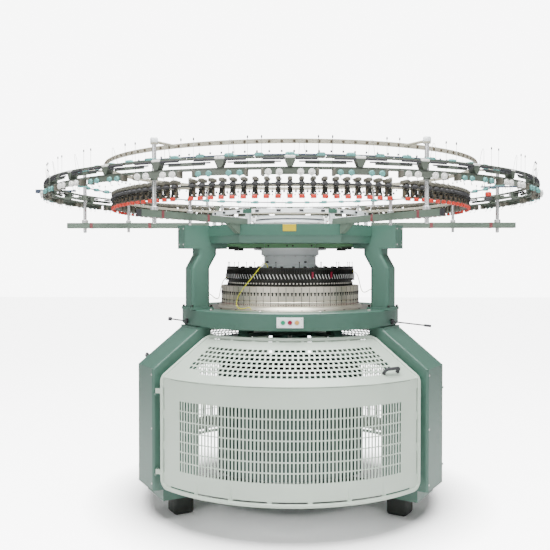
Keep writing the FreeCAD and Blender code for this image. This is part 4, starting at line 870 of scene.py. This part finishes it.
class MACHINE_OT_eyelets(bpy.types.Operator):
    """Guide eyes on the beige ring, and tension beads that hang from it"""

    bl_idname = "machine.eyelets"
    bl_label = "Eyelets"

    def execute(self, context):
        sizes = context.scene.machine_sizes
        foot, top = low("eyelet_ring").z, high("eyelet_ring").z
        eye_out, bead_out = 1.324, 1.320
        eye = turned("ring_eyes", [
            (0.0032, -0.0055), (0.0072, -0.0045), (0.0080, 0.0), (0.0072, 0.0045),
            (0.0032, 0.0055)], steps=8)
        laid(eye, (eye_out, 0, (foot + top) / 2))
        show(ring_of(eye, sizes.eyes, 1), "brown_bracket")
        bead = turned("tension_beads", [
            (0.0, -0.0075), (0.0045, -0.006), (0.0062, 0.0), (0.0045, 0.005), (0.0, 0.0065)],
            centre=(bead_out, 0, foot - 0.040), steps=8)
        show(ring_of(bead, sizes.eyes, 1), "black_plastic")
        thread = rod("bead_wires", (bead_out, 0, foot - 0.036), (bead_out, 0, foot + 0.004), 0.0006, 5)
        show(ring_of(thread, sizes.eyes, 1), "bright_steel")
        return {"FINISHED"}


class MACHINE_OT_clamp_covers(bpy.types.Operator):
    """Blade-shaped clamp covers on the blue ring"""

    bl_idname = "machine.clamp_covers"
    bl_label = "Clamp covers"

    def execute(self, context):
        cover = block("clamp_covers", (1.531, -0.026, 2.249), (1.561, 0.026, 2.276), 0.010, 3)
        tail = block("clamp_tails", (1.535, 0.020, 2.251), (1.557, 0.046, 2.265), 0.004, 2)
        show(ring_of(joined("clamp_covers", [cover, tail]), MODULES), "teal_plastic")
        return {"FINISHED"}


class MACHINE_OT_stop_motions(bpy.types.Operator):
    """The stop-motion units: contact strips, end caps, thread brakes, hooks, loops and feelers"""

    bl_idname = "machine.stop_motions"
    bl_label = "Stop motions"

    def execute(self, context):
        strip = block("upper_strips", (1.716, -0.0560, 2.2115), (1.724, 0.0560, 2.2225), 0.001)
        show(ring_of(twin(strip, 5.5), MODULES), "black_plastic")
        lower = block("lower_strips", (1.720, -0.0520, 2.1990), (1.7265, 0.0520, 2.2070), 0.001)
        show(ring_of(twin(lower, 6.4), MODULES), "black_plastic")
        channel = block("strip_channels", (1.712, -0.1050, 2.1900), (1.7195, 0.1050, 2.2090), 0.002)
        show(ring_of(channel, MODULES, 6), "boat_enamel")
        hood = block("boat_hoods", (1.684, -0.028, 2.2186), (1.724, 0.028, 2.2340), 0.006, 2)
        show(ring_of(hood, MODULES), "pale_plastic")
        bar_low, near, far = low("stop_bars").z, 3.5, 7.2
        cap = block("bar_caps", (1.688, -0.0075, bar_low - 0.006),
                    (1.732, 0.0075, bar_low + 0.030), 0.003)
        show(ring_of(twin(cap, 9.2), MODULES), "grey_plastic")
        brake = turned("thread_brakes", [
            (0.0, -0.006), (0.0165, -0.006), (0.0175, -0.002), (0.0120, 0.001), (0.0175, 0.004),
            (0.0165, 0.008), (0.0060, 0.008), (0.0040, 0.012), (0.0, 0.012)], steps=14)
        laid(brake, (1.736, 0, bar_low + 0.010))
        brakes = ring_of(four_of(brake, near, far), MODULES // 2)
        show(brakes, "pale_plastic")
        cup = turned("teal_brakes", [
            (0.0, -0.006), (0.0130, -0.006), (0.0160, 0.000), (0.0120, 0.009), (0.0, 0.011)], steps=12)
        laid(cup, (1.734, 0, bar_low + 0.008))
        cups = ring_of(four_of(cup, near, far), MODULES // 2, 360 / MODULES)
        show(cups, "teal_plastic")
        hook = wire("yarn_hooks", [
            (1.722, 0, bar_low + 0.004), (1.727, 0, bar_low - 0.010), (1.727, 0.004, bar_low - 0.022),
            (1.724, 0.009, bar_low - 0.026), (1.722, 0.012, bar_low - 0.020)], 0.0016)
        show(ring_of(four_of(hook, near, far), MODULES), "black_oxide")
        loop = wire("wire_loops", [
            (1.700, -0.016, 2.228), (1.712, -0.012, 2.300), (1.715, -0.006, 2.318),
            (1.715, 0.002, 2.318), (1.713, 0.008, 2.300), (1.702, 0.022, 2.228)], 0.0012)
        show(ring_of(loop, MODULES, 2), "bright_steel")
        feeler_out = 1.708
        feeler = rod("feelers", (feeler_out, 0, bar_low + 0.020), (feeler_out, 0, 2.326), 0.0011, 6)
        show(ring_of(twin(feeler, 9.6), MODULES), "bright_steel")
        tip = turned("feeler_tips", [
            (0.0, -0.008), (0.0034, -0.007), (0.0042, 0.0), (0.0030, 0.006), (0.0, 0.008)],
            centre=(feeler_out, 0, 2.330), steps=8)
        show(ring_of(twin(tip, 9.6), MODULES), "black_plastic")
        return {"FINISHED"}


class MACHINE_OT_yarn_feeders(bpy.types.Operator):
    """Positive yarn feeders: housing, driven disc, storage wheel, side plates and red lever"""

    bl_idname = "machine.yarn_feeders"
    bl_label = "Yarn feeders"

    def execute(self, context):
        base, top = low("yarn_feeders").z, high("yarn_feeders").z
        centre, plate_side = 1.2622, 0.0175
        housing = block("feeder_hood", (1.2120, -0.0135, top - 0.024),
                        (1.2800, 0.0135, top - 0.003), 0.0035)
        crest = block("feeder_crest", (1.2380, -0.0085, top - 0.004), (1.2700, 0.0085, top), 0.0015)
        neck = block("feeder_neck", (1.2300, -0.0090, base + 0.010),
                     (1.2440, 0.0090, top - 0.022), 0.0015)
        shoe = block("feeder_shoe", (1.2280, -0.0165, base), (1.2740, 0.0165, base + 0.009), 0.002)
        body = joined("feeder_housings", [housing, crest, neck, shoe])
        feeders = show(each_feeder(body), "grey_plastic")
        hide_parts("yarn_feeders")
        disc = turned("feeder_discs", [
            (0.0, 2.130), (0.0100, 2.131), (0.0184, 2.136), (0.0184, 2.142), (0.0165, 2.150),
            (0.0090, 2.158), (0.0, 2.159)], centre=(centre, 0, 0), steps=12)
        show(each_feeder(disc), "black_plastic")
        wheel = turned("feeder_spools", [
            (0.0, 2.093), (0.0168, 2.093), (0.0168, 2.096), (0.0120, 2.100), (0.0120, 2.115),
            (0.0160, 2.119), (0.0160, 2.122), (0.0, 2.123)], centre=(centre, 0, 0), steps=10)
        wheels = show(each_feeder(wheel), "black_oxide")
        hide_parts("feeder_wheels")
        spindle = drum("feeder_spindles", (centre, 0, 2.127), 0.0045, 0.014, "Z", 8, 0.001)
        show(each_feeder(spindle), "eyelet_ceramic")
        plates = []
        for side in (-1, 1):
            y = side * plate_side
            plate = block("side_plate", (1.2480, y - 0.0012, base + 0.006),
                          (1.2700, y + 0.0012, base + 0.052), 0.0006)
            plates.append(tip_over(plate, "X", side * 14, (1.259, y, base + 0.006)))
        show(each_feeder(joined("feeder_plates", plates)), "brown_bracket")
        lever = block("feeder_levers", (1.2640, -0.0165, base - 0.020),
                      (1.2800, 0.0165, base + 0.001), 0.003)
        show(each_feeder(lever), "red_plastic")
        eye = turned("feeder_stops", [
            (0.0, -0.0065), (0.0050, -0.0050), (0.0068, 0.0), (0.0050, 0.0050), (0.0, 0.0065)],
            centre=(1.262, 0, 2.098), steps=8)
        stem = rod("stop_stem", (1.262, 0, 2.102), (1.236, 0, 2.132), 0.0012, 5)
        show(each_feeder(joined("feeder_stops", [eye, stem]), FEEDER_PITCH / 2), "black_plastic")
        bolt = drum("rail_bolts", (1.2155, 0, 2.140), 0.0045, 0.004, "X", 6, 0.0008)
        show(each_feeder(bolt), "bright_steel")
        return {"FINISHED"}


class MACHINE_OT_outrigger_trim(bpy.types.Operator):
    """The red knob on its hub and the end cap of the rod at the right"""

    bl_idname = "machine.outrigger_trim"
    bl_label = "Outrigger trim"

    def execute(self, context):
        post = (1.430, -0.06, 2.190)
        knob = turned("outrigger_knob", [
            (0.0, -0.016), (0.020, -0.016), (0.023, -0.010), (0.023, 0.008), (0.017, 0.016),
            (0.0, 0.018)], centre=post, steps=20)
        show(knob, "red_plastic")
        hub = turned("outrigger_hub", [
            (0.0, -0.050), (0.017, -0.050), (0.026, -0.044), (0.026, -0.026), (0.012, -0.016),
            (0.0, -0.016)], centre=post, steps=20)
        show(hub, "black_plastic")
        cap = drum("outrigger_cap", (1.770, -0.115, 2.158), 0.013, 0.024, "X", 14, 0.003)
        show(cap, "black_plastic")
        return {"FINISHED"}


# ---------------------------------------------------------------- drive and take-down

class MACHINE_OT_drive_trim(bpy.types.Operator):
    """Cooling ribs round the motor"""

    bl_idname = "machine.drive_trim"
    bl_label = "Drive trim"

    def execute(self, context):
        sizes = context.scene.machine_sizes
        start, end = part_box("motor")
        middle = (start + end) / 2
        radius = (end.x - start.x) / 2
        ribs = []
        for turn in range(sizes.ribs):
            rib = block("motor_rib", (middle.x + radius - 0.001, middle.y - 0.0012, start.z + 0.030),
                        (middle.x + radius + 0.006, middle.y + 0.0012, end.z - 0.050), 0.0004)
            ribs.append(tip_over(rib, "Z", turn * 360 / sizes.ribs, middle))
        show(joined("motor_ribs", ribs), "motor_grey")
        return {"FINISHED"}


class MACHINE_OT_take_down_trim(bpy.types.Operator):
    """Bearing housings of the take-down rollers, and dark green sheets on their turning frame that paint
    shade inside the guard
    """

    bl_idname = "machine.take_down_trim"
    bl_label = "Take-down trim"

    def execute(self, context):
        sizes = context.scene.machine_sizes
        frame_side = 0.5005
        housings = [
            drum("bearing", (side * frame_side, y, z), 0.034, 0.014, "X", 20, 0.003)
            for side in (-1, 1) for y, z in ((0.0423, 0.90), (-0.0423, 0.90), (0.0, 0.56))]
        show(joined("roller_bearings", housings), "black_oxide", "rotor")
        # Dark green sheets round the take-down, seen through the guard's slots: painted shade that
        # darkens the inside of the guard.
        outer, foot, rim = sizes.shade_sheet_radius, sizes.shade_sheet_foot, sizes.shade_sheet_rim
        wall, lip, half = 0.004, 0.004, 56
        inner = outer - wall
        bracket_side, bracket_front = 0.492, 0.272
        pieces = []
        for azimuth, front in ((0, -1), (180, 1)):
            sheet = turned(f"painted_shade_sheet_{azimuth}", [
                (inner - lip, foot), (outer + lip, foot), (outer + lip, foot + 0.012),
                (outer, foot + 0.016), (outer, rim - 0.016), (outer + lip, rim - 0.012),
                (outer + lip, rim), (inner - lip, rim), (inner - lip, rim - 0.012),
                (inner, rim - 0.016), (inner, foot + 0.016), (inner - lip, foot + 0.012)],
                steps=half, angle=2 * half)
            pieces.append(face_to(sheet, azimuth + half))
            for side in (-1, 1):
                x, y = side * bracket_side, front * bracket_front
                for height in (0.34, 0.84):
                    pieces.append(block("sheet_bracket", (x - 0.008, y - 0.076, height),
                                        (x + 0.008, y + 0.076, height + 0.036), 0.002))
        show(joined("painted_shade_sheets", pieces), "painted_shade_green", "rotor")
        return {"FINISHED"}


# ---------------------------------------------------------------- stage

class MACHINE_OT_stage(bpy.types.Operator):
    """A flat floor whose glow, seen by the camera, matches the white backdrop away from the machine and
    is left out near it as painted shade under the machine; soft lamps and the camera
    """

    bl_idname = "machine.stage"
    bl_label = "Stage"

    def execute(self, context):
        looks = context.scene.machine_looks
        bpy.ops.object.select_all(action="DESELECT")
        bpy.ops.mesh.primitive_plane_add(size=60, location=(0, 0, 0))
        floor = named("floor")
        material = finish("floor_white", (0.93, 0.93, 0.93), 0.7, contrast=0.01, patch=0.5, grain=60,
                          bump=0.02)
        floor.data.materials.append(material)
        tree = material.node_tree
        seen, glow = tree.nodes.new("ShaderNodeLightPath"), tree.nodes.new("ShaderNodeMath")
        glow.operation = "MULTIPLY"
        tree.links.new(seen.outputs["Is Camera Ray"], glow.inputs[0])
        # The glow is left out within the first radius and comes in fully by the second, so the floor near
        # and under the machine is painted darker as shade.
        away, ramp = tree.nodes.new("ShaderNodeVectorMath"), tree.nodes.new("ShaderNodeMapRange")
        away.operation = "LENGTH"
        ramp.inputs["From Min"].default_value, ramp.inputs["From Max"].default_value = looks.fade
        ramp.inputs["To Max"].default_value = looks.floor
        tree.links.new(tree.nodes.new("ShaderNodeTexCoord").outputs["Object"], away.inputs[0])
        tree.links.new(away.outputs["Value"], ramp.inputs["Value"])
        tree.links.new(ramp.outputs["Result"], glow.inputs[1])
        shader = tree.nodes["Principled BSDF"]
        shader.inputs["Emission Color"].default_value = (1, 1, 1, 1)
        tree.links.new(glow.outputs["Value"], shader.inputs["Emission Strength"])
        world = bpy.context.scene.world or bpy.data.worlds.new("studio")
        bpy.context.scene.world = world
        world.use_nodes = True
        nodes, links = world.node_tree.nodes, world.node_tree.links
        even = nodes["Background"]
        even.inputs["Color"].default_value = (1, 1, 1, 1)
        even.inputs["Strength"].default_value = looks.fill
        backdrop = nodes.new("ShaderNodeBackground")
        backdrop.inputs["Color"].default_value = (1, 1, 1, 1)
        backdrop.inputs["Strength"].default_value = looks.backdrop
        path, mix = nodes.new("ShaderNodeLightPath"), nodes.new("ShaderNodeMixShader")
        links.new(path.outputs["Is Camera Ray"], mix.inputs["Fac"])
        links.new(even.outputs["Background"], mix.inputs[1])
        links.new(backdrop.outputs["Background"], mix.inputs[2])
        links.new(mix.outputs["Shader"], nodes["World Output"].inputs["Surface"])
        lamps = (
            ("overhead", (0.0, -1.5, 6.0), (0.0, 0.0, 1.2), 5.0, 1300),
            ("front_left", (-4.5, -6.0, 3.5), (0.0, 0.0, 1.2), 3.0, 130),
            ("front_right", (4.5, -5.5, 3.0), (0.0, 0.0, 1.2), 3.0, 60),
        )
        for name, place, target, size, power in lamps:
            bpy.ops.object.light_add(type="AREA", location=place)
            lamp = bpy.context.object
            lamp.name = name
            lamp.data.size = size
            lamp.data.energy = power * looks.lamps
            lamp.rotation_euler = (Vector(target) - Vector(place)).to_track_quat("-Z", "Y").to_euler()
        look_down, look_left = 1.016, 1.17
        bpy.ops.object.camera_add(
            location=(0, -looks.distance, looks.eye_height),
            rotation=(math.radians(90 - look_down), 0, math.radians(look_left)))
        camera = bpy.context.object
        camera.name = "camera"
        camera.data.lens = looks.lens
        camera.data.sensor_width = 36
        bpy.context.scene.camera = camera
        return {"FINISHED"}


# ---------------------------------------------------------------- add-on classes

class MachineLooks(bpy.types.PropertyGroup):
    """Colours, light and view that a user would change."""

    green: bpy.props.FloatVectorProperty(
        name="Green enamel", description="Enamel of legs, bed, columns and crown",
        default=(0.038, 0.102, 0.074), min=0, max=1, subtype="COLOR")
    guard: bpy.props.FloatVectorProperty(
        name="Guard enamel", description="Pale enamel of the doors",
        default=(0.44, 0.52, 0.44), min=0, max=1, subtype="COLOR")
    arm: bpy.props.FloatVectorProperty(
        name="Arm enamel", description="Dull enamel of the six arms",
        default=(0.088, 0.125, 0.095), min=0, max=1, subtype="COLOR")
    plate_green: bpy.props.FloatVectorProperty(
        name="Bridge green", description="Brighter enamel of the bridge under the crown",
        default=(0.085, 0.21, 0.095), min=0, max=1, subtype="COLOR")
    white: bpy.props.FloatVectorProperty(
        name="White enamel", description="Enamel of the dial housing and the ring above",
        default=(0.86, 0.89, 0.90), min=0, max=1, subtype="COLOR")
    cam: bpy.props.FloatVectorProperty(
        name="Cam steel", description="Ground faces of the cam plates",
        default=(0.155, 0.138, 0.105), min=0, max=1, subtype="COLOR")
    rail: bpy.props.FloatVectorProperty(
        name="Beige rail", description="The ring of guide eyes",
        default=(0.34, 0.32, 0.25), min=0, max=1, subtype="COLOR")
    hose: bpy.props.FloatVectorProperty(
        name="Hose yellow", description="The thin air hoses",
        default=(0.62, 0.62, 0.02), min=0, max=1, subtype="COLOR")
    fill: bpy.props.FloatProperty(
        name="Fill light", description="Strength of the even light from all round", default=0.42, min=0)
    backdrop: bpy.props.FloatProperty(
        name="Backdrop", description="Brightness of the backdrop as it is seen", default=8.0, min=0)
    floor: bpy.props.FloatProperty(
        name="Floor glow", description="Brightness added to the floor as it is seen", default=6.0, min=0)
    # Within these radii the floor's glow is cut back, which paints shade on the floor under the machine.
    fade: bpy.props.FloatVectorProperty(
        name="Floor fade", description="Distances from the axis between which the glow comes in",
        default=(1.0, 1.5), size=2, min=0, unit="LENGTH")
    lamps: bpy.props.FloatProperty(
        name="Lamps", description="Strength of the studio lamps", default=1.0, min=0,
        subtype="FACTOR")
    distance: bpy.props.FloatProperty(
        name="Camera distance", description="From the machine's axis to the camera",
        default=5.389, min=2, unit="LENGTH")
    eye_height: bpy.props.FloatProperty(
        name="Eye height", description="Height of the camera over the floor",
        default=1.70, min=0, unit="LENGTH")
    lens: bpy.props.FloatProperty(
        name="Lens", description="Focal length in millimetres", default=47.98, min=10,
        unit="CAMERA")


class MachineSizes(bpy.types.PropertyGroup):
    """Sizes and counts of the fittings that a user would change."""

    foot_side: bpy.props.FloatProperty(
        name="Foot side", description="Side of each square foot block",
        default=0.14, min=0.05, unit="LENGTH")
    foot_round: bpy.props.FloatProperty(
        name="Foot rounding", description="Radius of the foot block's rounded edges",
        default=0.018, min=0.001, unit="LENGTH")
    slats: bpy.props.IntProperty(
        name="Slats", description="Upright slats round the feeder ring", default=180, min=3)
    guides: bpy.props.IntProperty(
        name="Yarn guides", description="Yarn guides and eyes round the feeder ring",
        default=120, min=3)
    pins: bpy.props.IntProperty(
        name="Pins", description="Upright pins on the feeder ring", default=18, min=2)
    eyes: bpy.props.IntProperty(
        name="Guide eyes", description="Eyes and beads on the beige ring", default=120, min=3)
    ribs: bpy.props.IntProperty(
        name="Motor ribs", description="Cooling ribs round the motor", default=20, min=2)
    # The dark sheets set here paint shade inside the guard.
    shade_sheet_radius: bpy.props.FloatProperty(
        name="Splash sheet radius", description="Outside radius of the take-down's splash sheets",
        default=0.600, min=0.3, unit="LENGTH")
    shade_sheet_foot: bpy.props.FloatProperty(
        name="Splash sheet foot", description="Height of the sheets' lower rim",
        default=0.250, min=0, unit="LENGTH")
    shade_sheet_rim: bpy.props.FloatProperty(
        name="Splash sheet rim", description="Height of the sheets' upper rim",
        default=0.960, min=0, unit="LENGTH")


MAKERS = (
    MACHINE_OT_stage,
    MACHINE_OT_finishes,
    MACHINE_OT_node_finishes,
    MACHINE_OT_hoses,
    MACHINE_OT_feet,
    MACHINE_OT_leg_trim,
    MACHINE_OT_guard_trim,
    MACHINE_OT_bed_trim,
    MACHINE_OT_buttons,
    MACHINE_OT_cam_trim,
    MACHINE_OT_feeder_ring_trim,
    MACHINE_OT_housing_trim,
    MACHINE_OT_crown_trim,
    MACHINE_OT_column_trim,
    MACHINE_OT_arm_trim,
    MACHINE_OT_support_trim,
    MACHINE_OT_eyelets,
    MACHINE_OT_clamp_covers,
    MACHINE_OT_stop_motions,
    MACHINE_OT_yarn_feeders,
    MACHINE_OT_outrigger_trim,
    MACHINE_OT_drive_trim,
    MACHINE_OT_take_down_trim,
)


class MACHINE_PT_panel(bpy.types.Panel):
    """Lists the machine's colours, sizes and operators."""

    bl_idname = "MACHINE_PT_panel"
    bl_label = "Knitting machine"
    bl_space_type = "VIEW_3D"
    bl_region_type = "UI"
    bl_category = "Knitting machine"

    def draw(self, context):
        for name in MachineLooks.__annotations__:
            self.layout.prop(context.scene.machine_looks, name)
        for name in MachineSizes.__annotations__:
            self.layout.prop(context.scene.machine_sizes, name)
        for maker in MAKERS:
            self.layout.operator(maker.bl_idname)


CLASSES = (MachineLooks, MachineSizes, *MAKERS, MACHINE_PT_panel)


def register():
    for kind in CLASSES:
        bpy.utils.register_class(kind)
    bpy.types.Scene.machine_looks = bpy.props.PointerProperty(type=MachineLooks)
    bpy.types.Scene.machine_sizes = bpy.props.PointerProperty(type=MachineSizes)


def unregister():
    del bpy.types.Scene.machine_sizes
    del bpy.types.Scene.machine_looks
    for kind in reversed(CLASSES):
        bpy.utils.unregister_class(kind)


def main():
    register()
    for maker in MAKERS:
        getattr(bpy.ops.machine, maker.bl_idname.removeprefix("machine."))()


if __name__ == "__main__":
    main()
